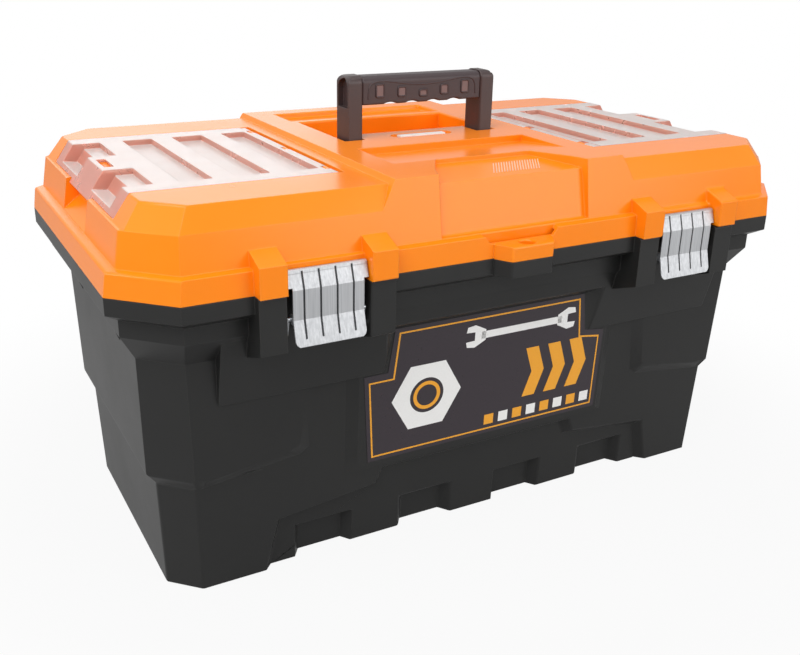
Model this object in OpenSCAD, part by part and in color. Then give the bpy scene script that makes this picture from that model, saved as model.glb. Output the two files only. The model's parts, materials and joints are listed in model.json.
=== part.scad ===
// Portable tool box: moulded tub with a hinged organiser lid, a folding carry handle,
// two clear organiser covers, two sprung steel draw latches and a lift-out tray.
// Front is -Y, +Z is up, the origin is under the middle of the tub.

/* [Body] */
// Length over the rim
body_l = 585; // [570:1:605]
// Depth over the rim
body_w = 320; // [312:1:332]
// Height of the parting line
rim_z = 241; // [236:1:250]
// Moulded wall
wall = 2.5; // [2.3:0.1:3.2]
// Floor of the tub
floor_t = 3.5; // [3:0.5:6]
// Corner chamfer of the rim, along each side
rim_chamfer = 38; // [34:1:42]
// Height of the tub's rim band
rim_h = 12; // [9:1:14]
// Gap between the tub and the closed lid
lid_gap = 0.3; // [0.2:0.1:0.5]
// How far the tub's inner lip stands up into the lid
lip_h = 5; // [3:0.5:7]
// Height of the step round the tub
step_z = 88; // [82:1:92]
// Height of the bottom of the sloping shoulder, below the parting line
shoulder_drop = 52; // [48:1:56]

/* [Front panel] */
// Height of the raised upper panel's lower edge
panel_z = 154; // [150:1:158]
// Half length of the raised upper panel
panel_hx = 225; // [215:1:228]
// Half width of the label at its foot
label_hx = 113; // [108:1:114]
// Height of the label's lower edge
label_z0 = 78; // [76:1:82]
// Height of the label's upper edge
label_z1 = 187; // [183:1:189]
// Thickness of the label
label_t = 0.4; // [0.3:0.1:0.8]
// Depth of the channels beside the label
channel_depth = 4.7; // [4:0.1:5.5]

/* [Foot recesses] */
// Depth of the wide foot recess
foot_depth = 7.5; // [6:0.5:9]
// Depth of each deep foot notch below that recess
notch_depth = 9; // [7:0.5:10]
// Width of a deep foot notch
notch_w = 37; // [32:1:40]
// Spacing of the deep foot notches
notch_pitch = 92.5; // [88:0.5:95]
// Height of a deep foot notch
notch_h = 25; // [20:1:30]

/* [Lid] */
// Height of the lid's rim band
band_h = 16.5; // [14:0.5:19]
// Height of the bottom of the bevel, above the parting line
bevel_rise = 41.5; // [40:0.5:43]
// Height of the organiser tops, above the parting line
top_rise = 58; // [57:0.5:60]
// Rise of the middle block above the organisers
block_rise = 4; // [3:0.5:5]
// Half width of the middle block at its top
block_hx = 99; // [97:0.5:101]
// Reach of the padlock tab in front of the rim
tab_reach = 14; // [13:0.5:16]
// Diameter of the padlock hole
padlock_d = 11; // [8:0.5:12]

/* [Hinge] */
// Diameter of the steel hinge pins
hinge_pin_d = 5; // [4:0.5:6]
// Outer radius of the hinge knuckles
knuckle_r = 6.5; // [5.5:0.5:7]
// Length of one knuckle
knuckle_l = 24; // [18:1:30]
// Distance of each hinge from the middle
hinge_x = 165; // [140:1:200]
// Running clearance of pins, on the radius
run = 0.05; // [0.03:0.01:0.08]

/* [Handle] */
// Length of the handle
handle_l = 136; // [130:1:140]
// Width of a handle leg
leg_w = 12.5; // [11:0.5:14]
// Depth of the handle, front to back
handle_d = 22; // [19:1:23]
// Height of the handle's top above the middle block
handle_rise = 49.5; // [46:0.5:54]
// Height of the hand grip
grip_h = 23; // [21:0.5:26]
// Diameter of the handle's pivot pins
handle_pin_d = 6; // [5:0.5:7]
// Gap round the moving handle
handle_gap = 1; // [0.6:0.1:1.5]
// Depth of the recess that the handle folds into
recess_depth = 27.5; // [26:0.5:29]
// Thickness of the soft sleeve on the grip
sleeve_t = 3; // [2:0.5:4]

/* [Organiser covers] */
// Inner edge of a cover, from the middle of the lid
cover_x0 = 121; // [119:0.5:123]
// Half width of a cover
cover_hy = 95; // [90:1:98]
// Thickness of a cover
cover_t = 2.2; // [1.8:0.1:2.6]
// Depth of the wells between a cover's bars
well_depth = 4.5; // [3:0.5:5.5]
// Depth of the organiser pockets
pocket_depth = 31; // [26:1:33]
// Thickness of a divider
divider_t = 2; // [1.5:0.1:2.5]
// Diameter of a cover's hinge pin
cover_pin_d = 3; // [2.5:0.1:3.4]

/* [Latches] */
// Distance of each latch from the middle
latch_x = 157.5; // [150:0.5:165]
// Clear width between a latch's ears
latch_gap = 60.5; // [58:0.5:64]
// Width of one ear
ear_w = 19; // [15:1:22]
// Width of the latch plate
plate_w = 51.5; // [44:0.5:52]
// Width of the hook
hook_w = 58.5; // [54:0.5:59]
// Sheet thickness of the latch
plate_t = 1.2; // [1:0.1:1.6]
// Wire diameter of the bail
wire_d = 3; // [2.4:0.1:3.2]

/* [Tray] */
// Depth of the tray below its flange
tray_depth = 46; // [36:1:60]
// Wall of the tray
tray_wall = 2.5; // [2:0.1:3]
// Height of the tray's carry bar above its flange
tray_bar_rise = 26; // [18:1:32]

/* [Hidden] */
$fn = 48;
eps = 0.5;          // overlap of pieces that are one moulding
far = 60;           // reach of a cutting tool past the surface
seat = 0.3;         // rest gap between a loose piece and its seat

// Levels of the tub and the lid: height, half length, half depth, corner chamfer
rim_hx = body_l / 2;
rim_hy = body_w / 2;
rim_top = rim_z - lid_gap;
collar_in = [9.5, 13];
wall_in = [20.5, 29.5];
pad_in = [21.7, 33.4];
step_in = [28.3, 38.5];
foot_in = [30.8, 42.3];
step_h = 9;
collar_h = 12;
flare_h = 7;
foot_chamfer = 21.5;
wall_chamfer = 26;
collar_chamfer = 33;
shoulder_z = rim_z - shoulder_drop;
flare_z = rim_top - rim_h;
collar_z1 = flare_z - flare_h;
collar_z0 = collar_z1 - collar_h;

function level(z, inset, chamfer) = [z, rim_hx - inset[0], rim_hy - inset[1], chamfer];
tub_levels = [
    level(0, foot_in, foot_chamfer),
    level(step_z, step_in, foot_chamfer + 1),
    level(step_z + step_h, pad_in, wall_chamfer),
    level(shoulder_z, wall_in, wall_chamfer),
    level(collar_z0, collar_in, collar_chamfer),
    level(collar_z1, collar_in, collar_chamfer),
    level(flare_z, [0, 0], rim_chamfer),
    level(rim_top, [0, 0], rim_chamfer)
];
cavity_levels = [
    level(floor_t, foot_in, foot_chamfer),
    level(step_z, step_in, foot_chamfer + 1),
    level(step_z + step_h, pad_in, wall_chamfer),
    level(shoulder_z, wall_in, wall_chamfer),
    level(collar_z0, collar_in, collar_chamfer),
    level(rim_top + lip_h + eps, collar_in, collar_chamfer)
];

band_z = rim_z + band_h;
bevel_z = rim_z + bevel_rise;
top_z = rim_z + top_rise;
block_z = top_z + block_rise;
band_in = [2.5, 0.6];
lid_wall_in = [9, 6.5];
bevel_in = [13.3, 10.3];
ledge_in = [16.5, 10.8];
top_in = [28, 19.2];
band_step = 1;
ledge_step = 0.4;
lid_chamfers = [rim_chamfer - 1, 32, 29.4, 26.5, 23];
// Rings of the lid from its lower edge at z0, with all above it lowered by drop
function lid_levels(z0, drop) = [
    level(z0, [0, 0], rim_chamfer),
    level(band_z - drop, band_in, lid_chamfers[0]),
    level(band_z - drop + band_step, lid_wall_in, lid_chamfers[1]),
    level(bevel_z - drop, bevel_in, lid_chamfers[2]),
    level(bevel_z - drop + ledge_step, ledge_in, lid_chamfers[3]),
    level(top_z - drop, top_in, lid_chamfers[4])
];
lid_wall_z = band_z + band_step;
wall_lean = (bevel_in - lid_wall_in) / (bevel_z - lid_wall_z);
block_lean = 0.55;
function lid_front_y(z) = rim_hy - lid_wall_in[1] - wall_lean[1] * (z - lid_wall_z);
function lid_wall_x(z) = rim_hx - lid_wall_in[0] - wall_lean[0] * (z - lid_wall_z);
function lid_end_x(z) = rim_hx - ledge_in[0] - (top_in[0] - ledge_in[0]) * (z - bevel_z) / (top_z - bevel_z);
function block_half(z) = block_hx + block_lean * (block_z - z);

// Front planes of the tub, as distances from the middle at height z
wall_slope = (foot_in[1] - step_in[1]) / step_z;
pad_slope = (pad_in[1] - wall_in[1]) / (shoulder_z - step_z - step_h);
function pad_y(z) = rim_hy - pad_in[1] + pad_slope * (z - step_z - step_h);
function foot_y(z) = rim_hy - foot_in[1] + wall_slope * z;
function channel_y(z) = pad_y(z) - channel_depth;
shoulder_lean = (wall_in[1] - collar_in[1]) / (collar_z0 - shoulder_z);
function shoulder_y(z) = rim_hy - wall_in[1] + shoulder_lean * (z - shoulder_z);

// Points of one level, counter-clockwise from above
function octagon(lv, shrink = 0) =
    let (z = lv[0], x = lv[1] - shrink, y = lv[2] - shrink, c = lv[3] - shrink * (2 - sqrt(2)))
    [[x, c - y, z], [x, y - c, z], [x - c, y, z], [c - x, y, z],
     [-x, y - c, z], [-x, c - y, z], [c - x, -y, z], [x - c, -y, z]];
function rect_ring(hx, hy, z) = [[hx, -hy, z], [hx, hy, z], [-hx, hy, z], [-hx, -hy, z]];

// Solid through a stack of rings with the same number of points
module loft(rings) {
    n = len(rings[0]);
    m = len(rings);
    polyhedron(
        points = [for (r = rings) each r],
        faces = concat(
            [[for (i = [0:n - 1]) i]],
            [[for (i = [n - 1:-1:0]) (m - 1) * n + i]],
            [for (k = [0:m - 2]) for (i = [0:n - 1]) let (j = (i + 1) % n)
                each [[k * n + i, (k + 1) * n + i, (k + 1) * n + j], [k * n + i, (k + 1) * n + j, k * n + j]]]
        ));
}

module levels(list, shrink = 0) {
    loft([for (lv = list) octagon(lv, shrink)]);
}

// Upright ring with the plan of the tub's collar
module collar_block(z0, z1, shrink = 0) {
    levels([level(z0, collar_in, collar_chamfer), level(z1, collar_in, collar_chamfer)], shrink);
}

// Prism on the front, from an inner to an outer outline in X and Z, each lying on its own sloping plane
module front_prism(inner, outer, inner_y, outer_y) {
    loft([
        [for (p = inner) [p[0], -inner_y(p[1]), p[1]]],
        [for (p = outer) [p[0], -outer_y(p[1]), p[1]]]
    ]);
}

// Upright outline in X and Z, as wide as hx on both sides of x
function slab(x, hx, z0, z1) = [[x - hx, z0], [x + hx, z0], [x + hx, z1], [x - hx, z1]];

module both_sides() {
    children();
    mirror([1, 0, 0]) children();
}

module front_and_back() {
    children();
    mirror([0, 1, 0]) children();
}

// Outline in Y and Z drawn along X from x0 to x1
module along_x(x0, x1, outline) {
    translate([x0, 0, 0]) rotate([90, 0, 90]) linear_extrude(x1 - x0) polygon(outline);
}

// Outline in X and Z drawn along Y from y0 to y1
module along_y(y0, y1, outline) {
    translate([0, y1, 0]) rotate([90, 0, 0]) linear_extrude(y1 - y0) polygon(outline);
}

module box(x, y, z) {
    translate([x[0], y[0], z[0]]) cube([x[1] - x[0], y[1] - y[0], z[1] - z[0]]);
}

module rod_x(r, x, y, z) {
    translate([x[0], y, z]) rotate([0, 90, 0]) cylinder(r = r, h = x[1] - x[0]);
}

module rod_y(r, x, y, z) {
    translate([x, y[0], z]) rotate([-90, 0, 0]) cylinder(r = r, h = y[1] - y[0]);
}

// Shared places
hinge_y = rim_hy + knuckle_r + 1;
hinge_pin_r = hinge_pin_d / 2;
hinge_span = 1.5 * knuckle_l + 1;
ear_y = rim_hy + 7;
lid_ear_y = rim_hy + 10;
lid_ear_z = [band_z + 4.5, band_z + 12];
ear_drop = 40;
ear_bottom = rim_z - ear_drop;
ear_foot = ear_bottom - 10.5;
ear_x = [[latch_x - latch_gap / 2 - ear_w, latch_x - latch_gap / 2],
         [latch_x + latch_gap / 2, latch_x + latch_gap / 2 + ear_w]];
tab_y = rim_hy + tab_reach;
tab_hx = 25;
tab_nose_hx = 18;
tab_root_y = rim_hy + 2;
tab_top = rim_z + 11;
dip_hx = [34, 28];
padlock_y = rim_hy + 5;
padlock_r = padlock_d / 2;
label_top_hx = label_hx - 25;

// A recess is cut past the surface, and its backing, g thicker, stops just under it
function past(g, reach) = g > 0 ? -eps : reach;

// Foot recess: half widths at the floor, the shelf, the step and the crown, the heights of the last three,
// and how far the outline flares outwards
foot_hx = [184, 175, 93, 88];
foot_rise = [40, 49.5, 62];
foot_flare_x = [8, 6, 5.5, 5.5];
foot_flare_z = [5, 5, 6];
function foot_z(g) = g > 0 ? 0 : -1;
function foot_outline(g, flare) =
    let (x = foot_hx + flare * foot_flare_x + [g, g, g, g], z = foot_rise + flare * foot_flare_z + [g, g, g])
    [[-x[0], foot_z(g)], [x[0], foot_z(g)], [x[1], z[0]], [x[2], z[1]],
     [x[3], z[2]], [-x[3], z[2]], [-x[2], z[1]], [-x[1], z[0]]];
notch_x = [for (k = [-1.5:1:1.5]) k * notch_pitch];
notch_flare = [6.5, 5];

module foot_recess(g) {
    front_prism(foot_outline(g, 0), foot_outline(g, 1),
        function (z) foot_y(z) - foot_depth - g, function (z) foot_y(z) + past(g, 1));
    for (x = notch_x)
        front_prism(slab(x, notch_w / 2 + g, foot_z(g), notch_h + g),
            slab(x, notch_w / 2 + notch_flare[0] + g, foot_z(g), notch_h + notch_flare[1] + g),
            function (z) foot_y(z) - foot_depth - notch_depth - g,
            function (z) foot_y(z) - foot_depth + past(g, eps));
}

// Channel between a corner pad and the label's plateau
pad_x = 160;
channel_x0 = label_hx + 1.5;
slope_run = 11;
channel_x1 = 238;
channel_low = step_z - 2;
// Cut corner of the pad from its lower inner corner, at the channel's floor and at its mouth
pad_cut_floor = [[1, 9.5], [-5, 14]];
pad_cut_mouth = [[12, 18], [6, 22]];
function channel_outline(g, run_in, shelf_z, cut) =
    let (top = panel_z - eps + g)
    [[channel_x0 + run_in - g, channel_low], [channel_x1 - g, channel_low], [channel_x1 - g, shelf_z],
     each [for (c = cut) [pad_x, step_z] + c + [g, g]],
     [pad_x - run_in + g, top], [channel_x0 + run_in - g, top]];

module channel(g) {
    front_prism(channel_outline(g, slope_run, step_z, pad_cut_floor),
        channel_outline(g, 0, step_z + step_h, pad_cut_mouth),
        function (z) channel_y(z) - g, function (z) pad_y(z) + past(g, 1));
}

// Raised upper panel that fills the hollow of the shoulder, with the label's recess
panel_top = shoulder_z + 16.5;
panel_edge = 1.5;
function panel_y(z) = pad_y(panel_z) + panel_edge
    + (shoulder_y(panel_top) - pad_y(panel_z) - panel_edge) * (z - panel_z) / (panel_top - panel_z);

// Room round the label's head: more half width at its foot and its top, and more height, at floor and mouth
label_room_floor = [8, 1, 1];
label_room_mouth = [18, 14, 8];
label_room_reach = 12;
function label_room(more) =
    let (foot = label_top_hx + more[0], head = label_top_hx + more[1], top = label_z1 + more[2])
    [[-foot, panel_z - 1], [foot, panel_z - 1], [head, top], [-head, top]];

module upper_panel() {
    difference() {
        along_x(-panel_hx, panel_hx, [[-panel_y(panel_z), panel_z], [-panel_y(panel_top), panel_top],
            [-shoulder_y(panel_top) + wall / 2, panel_top], [-pad_y(shoulder_z) + wall / 2, shoulder_z],
            [-pad_y(panel_z) + wall / 2, panel_z]]);
        front_prism(label_room(label_room_floor), label_room(label_room_mouth),
            function (z) pad_y(z), function (z) pad_y(z) + label_room_reach);
    }
}

module label_plateau() {
    flank = slope_run / (channel_depth + 1);
    edge = channel_x0 + flank - 0.1;
    hx = edge + flank * (channel_depth + wall / 2);
    top = step_z + step_h + 1;
    front_prism(slab(0, hx, label_z0 - 10, top), slab(0, edge, label_z0 - 2, top),
        function (z) foot_y(z) - wall / 2, function (z) pad_y(z));
}

// Ribs inside the shoulder that carry the tray's flange
tray_seat_z = shoulder_z + 17;
rib_t = 4;
rib_x = hinge_x + 15;
rib_y = 60;
rib_reach = wall + 1.5;
rib_foot = shoulder_z - 6;
module tray_ribs() {
    front_and_back() both_sides()
        along_x(rib_x - rib_t / 2, rib_x + rib_t / 2, [
            [-shoulder_y(tray_seat_z) + wall / 2, tray_seat_z],
            [-rim_hy + wall_in[1] + rib_reach, tray_seat_z], [-rim_hy + wall_in[1] + wall / 2, rib_foot]]);
    front_and_back() both_sides()
        along_y(rib_y - rib_t / 2, rib_y + rib_t / 2, [
            [rim_hx - wall_in[0] - rib_reach, tray_seat_z], [rim_hx - wall_in[0] - wall / 2, rib_foot],
            [rim_hx - collar_in[0] - wall - 1, tray_seat_z]]);
}

// Plan of the padlock tabs
tab_plan = [[-tab_hx, -rim_hy + wall], [-tab_hx, -tab_root_y], [-tab_nose_hx, -tab_y], [tab_nose_hx, -tab_y],
    [tab_hx, -tab_root_y], [tab_hx, -rim_hy + wall]];

// Swing of the wire bail in the ears, and of the lever on the bail
bail_drop = 31;
lever_drop = 19;
bail_y = -rim_hy + 2;
bail_z = rim_z - bail_drop;
lever_y = -rim_hy - 1.5;
lever_z = rim_z - lever_drop;
wire_r = wire_d / 2;
arm_gap = 0.6;
bail_arm_x = plate_w / 2 + arm_gap + wire_r;
bail_reach = latch_gap / 2 + 4;

module base_tub() {
    color("#343538")
    difference() {
        union() {
            difference() {
                levels(tub_levels);
                levels(cavity_levels, wall);
                // Open channel of the hollow rim
                difference() {
                    levels([level(flare_z + wall - 1, [0, 0], rim_chamfer),
                            level(rim_top + 1, [0, 0], rim_chamfer)], wall);
                    collar_block(flare_z, rim_top + 2);
                }
                // Bays behind the latches
                both_sides()
                    box([latch_x - latch_gap / 2, latch_x + latch_gap / 2],
                        [-rim_hy - 1, -rim_hy + collar_in[1]], [collar_z1 - 1, rim_top + 1]);
            }
            // Inner lip, standing up into the lid
            difference() {
                collar_block(collar_z1, rim_top + lip_h);
                collar_block(collar_z1 - 1, rim_top + lip_h + 1, wall);
            }
            front_and_back() {
                foot_recess(wall);
                both_sides() channel(wall);
            }
            upper_panel();
            label_plateau();
            tray_ribs();
            // Ears that carry the bails
            both_sides()
                for (e = ear_x)
                    along_x(e[0], e[1], [
                        [-ear_y, rim_top], [-ear_y, ear_bottom], [-panel_y(ear_foot) + 1, ear_foot],
                        [-shoulder_y(ear_foot) + wall / 2, ear_foot],
                        [-rim_hy + collar_in[1] + wall / 2, collar_z0],
                        [-rim_hy + collar_in[1] + wall / 2, rim_top]]);
            // Padlock tab
            translate([0, 0, flare_z]) linear_extrude(rim_h) polygon(tab_plan);
            // Hinge knuckles
            both_sides()
                for (s = [-1, 1])
                    hinge_knuckle(hinge_x + s * (knuckle_l + 1), rim_top - 2 * knuckle_r, rim_top);
        }
        front_and_back() {
            foot_recess(0);
            both_sides() channel(0);
        }
        translate([0, -padlock_y, flare_z - 1]) cylinder(r = padlock_r, h = rim_h + 2);
        both_sides() {
            rod_x(hinge_pin_r, [hinge_x - hinge_span - 1, hinge_x + hinge_span + 1], hinge_y, rim_z);
            rod_x(wire_r + run, [latch_x - bail_reach - 1, latch_x + bail_reach + 1], bail_y, bail_z);
        }
    }
}

// One hinge knuckle with the web that joins it to a rim
module hinge_knuckle(x, z0, z1) {
    rod_x(knuckle_r, [x - knuckle_l / 2, x + knuckle_l / 2], hinge_y, rim_z);
    box([x - knuckle_l / 2, x + knuckle_l / 2], [rim_hy - wall, hinge_y], [z0, z1]);
}

module front_label() {
    color("#2b1f28")
    intersection() {
        along_y(-rim_hy, 0, label_outline);
        along_x(-label_hx - 1, label_hx + 1, [
            [-pad_y(step_z / 2), step_z / 2], [-pad_y(step_z / 2) - label_t, step_z / 2],
            [-pad_y(shoulder_z) - label_t, shoulder_z], [-pad_y(shoulder_z), shoulder_z]]);
    }
}

// Label outline: a wide foot with a narrower head inside the panel's recess
label_outline = [[-label_hx + 5, label_z0], [label_hx, label_z0], [label_hx + 0.5, panel_z - 3],
    [label_top_hx + 5, panel_z], [label_top_hx, label_z1], [-label_top_hx, label_z1],
    [-label_top_hx - 5, panel_z - 2], [-label_hx, panel_z - 2]];

module hinge_pin(side) {
    color("#b9bcc0")
    rod_x(hinge_pin_r, [side * hinge_x - hinge_span, side * hinge_x + hinge_span], hinge_y, rim_z);
}

// Organiser pockets, cover seats and hinge grooves of the lid
skin = 2.5;
skin_edge = 1.5;
cover_gap = 0.4;
cut_out = 20;
pocket_x = [cover_x0 + 4, rim_hx - top_in[0] - 6];
pocket_hy = cover_hy - 4;
pocket_z = top_z - pocket_depth;
seat_z = top_z - cover_t - seat;
cover_axis_x = cover_x0 - 4;
cover_axis_z = top_z - 3.5;
cover_pin_r = cover_pin_d / 2;
cover_barrel_r = cover_pin_r + 1.7;
groove_x = [cover_axis_x - cover_barrel_r - 1.5, pocket_x[0] + 1];
groove_z = cover_axis_z - cover_barrel_r - 1.2;
lug_t = 8;
lug_y = [-76, 0, 76];
well_wall = 1.6;
niche_depth = 9.5;
well_bottom = top_z - well_depth - well_wall;
divider_top = well_bottom - 1;
divider_x = [for (k = [1:3]) pocket_x[0] + k * (pocket_x[1] - pocket_x[0]) / 4];
divider_slot = 1.2;
divider_gap = 0.2;
notch_hy = 36;
notch_back = rim_hx - bevel_in[0] - 8;
notch_low = bevel_z - 13.5;

// Outer surface of a cover in X and Z: along the top, then down the bevel and on by the given length
flap_z = bevel_z + 0.5;
cover_edge = [lid_end_x(top_z), top_z];
flap_end = [lid_end_x(flap_z), flap_z];
flap_way = (flap_end - cover_edge) / norm(flap_end - cover_edge);
flap_out = [-flap_way[1], flap_way[0]];
function cover_path(x0, on) = [[x0, top_z], cover_edge, flap_end + on * flap_way];

// Short wells run on down the flap as niches that close above its lower edge, with g more room
niche_end = 4;
niche_ramp = 5;
function niche(x0, out, g) =
    let (path = [[x0 - g, top_z], cover_edge, flap_end],
         floor_z = top_z - well_depth - g, d = niche_depth + g,
         t = (floor_z - top_z + d * flap_out[1]) / flap_way[1], mouth = flap_end + (g - niche_end) * flap_way)
    [[x0 - g, top_z + out], sheet_point(path, 1, out), mouth + out * flap_out, each out > 0 ? [mouth] : [],
     mouth - niche_ramp * flap_way - d * flap_out,
     cover_edge + t * flap_way - d * flap_out, [x0 - g, floor_z]];

module niches(out, g) {
    front_and_back()
        along_y(tongue_hy - g, well_hy + g, niche(cover_well_x[3], out, g));
}

// Finger notch under the flap: deep at the top, running out to the wall at the bottom
function finger_notch(g) =
    let (top = bevel_z + (g > 0 ? 0 : 1), edge = g > 0 ? skin_edge : 0,
         out = g > 0 ? -edge : far, low = band_z + 2)
    [[notch_back - g, top], [lid_wall_x(bevel_z) + out, top], [lid_wall_x(low) + out, low - g],
     [lid_wall_x(low) - edge, low - g], [notch_back - g, notch_low - g]];

module organiser_room(g) {
    box([pocket_x[0] - g, pocket_x[1] + g], [-pocket_hy - g, pocket_hy + g],
        [pocket_z - g, top_z - (g > 0 ? 3 : -far)]);
}

// Skin under the pockets, the cover's seat, the hinge groove and the finger notch
module organiser_backing() {
    seat_hy = cover_hy + cover_gap + skin;
    organiser_room(skin);
    box([groove_x[0] - skin, groove_x[1] + skin], [-seat_hy, seat_hy], [groove_z - skin, top_z - 1]);
    along_y(-seat_hy, seat_hy, sheet(cover_path(groove_x[0], -1), -1, -cover_t - seat - skin));
    niches(-1, well_wall + cover_gap + skin);
    along_y(-notch_hy - skin, notch_hy + skin, finger_notch(skin));
}

module organiser_cuts() {
    organiser_room(0);
    box(groove_x, [-cover_hy - cover_gap, cover_hy + cover_gap], [groove_z, top_z + far]);
    along_y(-cover_hy - cover_gap, cover_hy + cover_gap,
        sheet(cover_path(groove_x[0], seat), cut_out, -cover_t - seat));
    niches(cut_out, well_wall + cover_gap);
    along_y(-notch_hy, notch_hy, finger_notch(0));
    for (x = divider_x)
        box([x - divider_t / 2 - divider_gap, x + divider_t / 2 + divider_gap],
            [-pocket_hy - divider_slot, pocket_hy + divider_slot], [pocket_z, divider_top + 1]);
}

module cover_lugs() {
    difference() {
        for (y = lug_y) {
            rod_y(cover_barrel_r, cover_axis_x, [y - lug_t / 2, y + lug_t / 2], cover_axis_z);
            box([cover_axis_x - cover_barrel_r, cover_axis_x + cover_barrel_r],
                [y - lug_t / 2, y + lug_t / 2], [groove_z - eps, cover_axis_z]);
        }
        rod_y(cover_pin_r, cover_axis_x, [-cover_hy, cover_hy], cover_axis_z);
    }
}

// Ledge of the pocket's wall under the window in a cover's tongue
ledge_margin = 1.5;
ledge_h = [3, 6];
module window_ledge() {
    x = [window_x[0] - ledge_margin, pocket_x[1] + 1];
    along_y(-window_hy - ledge_margin, window_hy + ledge_margin,
        [[x[1], seat_z - ledge_h[1]], [x[0], seat_z - ledge_h[0]], [x[0], seat_z], [x[1], seat_z]]);
}

// Handle recess: a well behind the handle and a slot for each leg
pivot_y = -1;
pivot_z = block_z - 13;
leg_r = handle_d / 2;
leg_x = [handle_l / 2 - leg_w, handle_l / 2];
recess_hx = handle_l / 2 + 3;
recess_y = [10, 80];
recess_z = block_z - recess_depth;
slot_x = [leg_x[0] - 2, recess_hx];
handle_pin_r = handle_pin_d / 2;
boss_r = handle_pin_r + 3.5;
boss_l = 5;
pin_x = [slot_x[0] - boss_l, slot_x[1] + boss_l];
step_y = -45;
ramp_y = -103;
ramp_hx = 77;
ramp_depth = 5.5;
back_tray_hx = 75;
back_tray_land = 8;
back_tray_end = 126;
back_tray_y = [recess_y[1] + back_tray_land, back_tray_end];
back_tray_depth = 4.5;

// Upper end of a room in the middle block: its cut goes far past the top, and its backing stops under it
function above(g) = block_z + (g > 0 ? -1 : far);

module handle_room(g) {
    z = [recess_z - g, above(g)];
    box([-recess_hx - g, recess_hx + g], [recess_y[0] - g, recess_y[1] + g], z);
    both_sides()
        box([slot_x[0] - g, slot_x[1] + g], [pivot_y - leg_r - handle_gap - g, recess_y[1]], z);
}

// Ramp in front of the handle, shallow tray behind it, and the scoop over the front edge
module ramp_room(g) {
    along_x(-ramp_hx - g, ramp_hx + g, [[step_y + g, above(g)], [ramp_y - g, above(g)],
        [ramp_y - g, block_z - g], [step_y + g, block_z - ramp_depth - g]]);
}

module back_tray_room(g) {
    box([-back_tray_hx - g, back_tray_hx + g], [back_tray_y[0] - g, back_tray_y[1] + g],
        [block_z - back_tray_depth - g, above(g)]);
}

// Half widths of the scoop at its back, its middle and its front, and how far its top lies
// under the block at the back and at the front edge
scoop_hx = [42, 60, 65];
scoop_mid_y = ramp_y - 30;
scoop_depth = 4.5;
scoop_drop = [3.5, 7.5];
scoop_foot = band_z + 1.5;
module scoop_room(g) {
    front = g > 0 ? -1 : far;
    edge_y = -lid_front_y(block_z);
    foot_y = -lid_front_y(band_z);
    x = scoop_hx + [g, g, g];
    intersection() {
        along_x(-x[2], x[2], [
            [ramp_y + g, above(g)], [edge_y - front, above(g)], [foot_y - front, scoop_foot],
            [foot_y + scoop_depth + g, scoop_foot - g],
            [edge_y + scoop_depth + g, block_z - scoop_drop[1] - g],
            [ramp_y + g, block_z - scoop_drop[0] - g]]);
        translate([0, 0, rim_z]) linear_extrude(2 * top_rise + far) polygon([
            [-x[0], ramp_y + g], [-x[1], scoop_mid_y], [-x[2], edge_y], [-x[2], -rim_hy - far],
            [x[2], -rim_hy - far], [x[2], edge_y], [x[1], scoop_mid_y], [x[0], ramp_y + g]]);
    }
}

// Slot on the platform in front of the handle, with a pale plate let into its floor
slot_y = -10;
slot_l = 44;
slot_r = 6.5;
slot_depth = 1.2;
plate_l = 43;
plate_d = 6;
plate_bed = 1.8;
plate_proud = 0.3;
plate_room = 0.4;

module platform_slot() {
    translate([0, slot_y, block_z - slot_depth]) linear_extrude(far) {
        square([slot_l, 2 * slot_r], center = true);
        for (s = [-1, 1]) translate([s * slot_l / 2, 0]) circle(r = slot_r);
    }
    plate_block(plate_room, far);
}

module plate_block(more, rise) {
    box([-plate_l / 2 - more, plate_l / 2 + more], [slot_y - plate_d / 2 - more, slot_y + plate_d / 2 + more],
        [block_z - plate_bed, block_z + rise]);
}

module slot_plate() {
    color("#efe9e4") plate_block(0, plate_proud);
}

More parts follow.
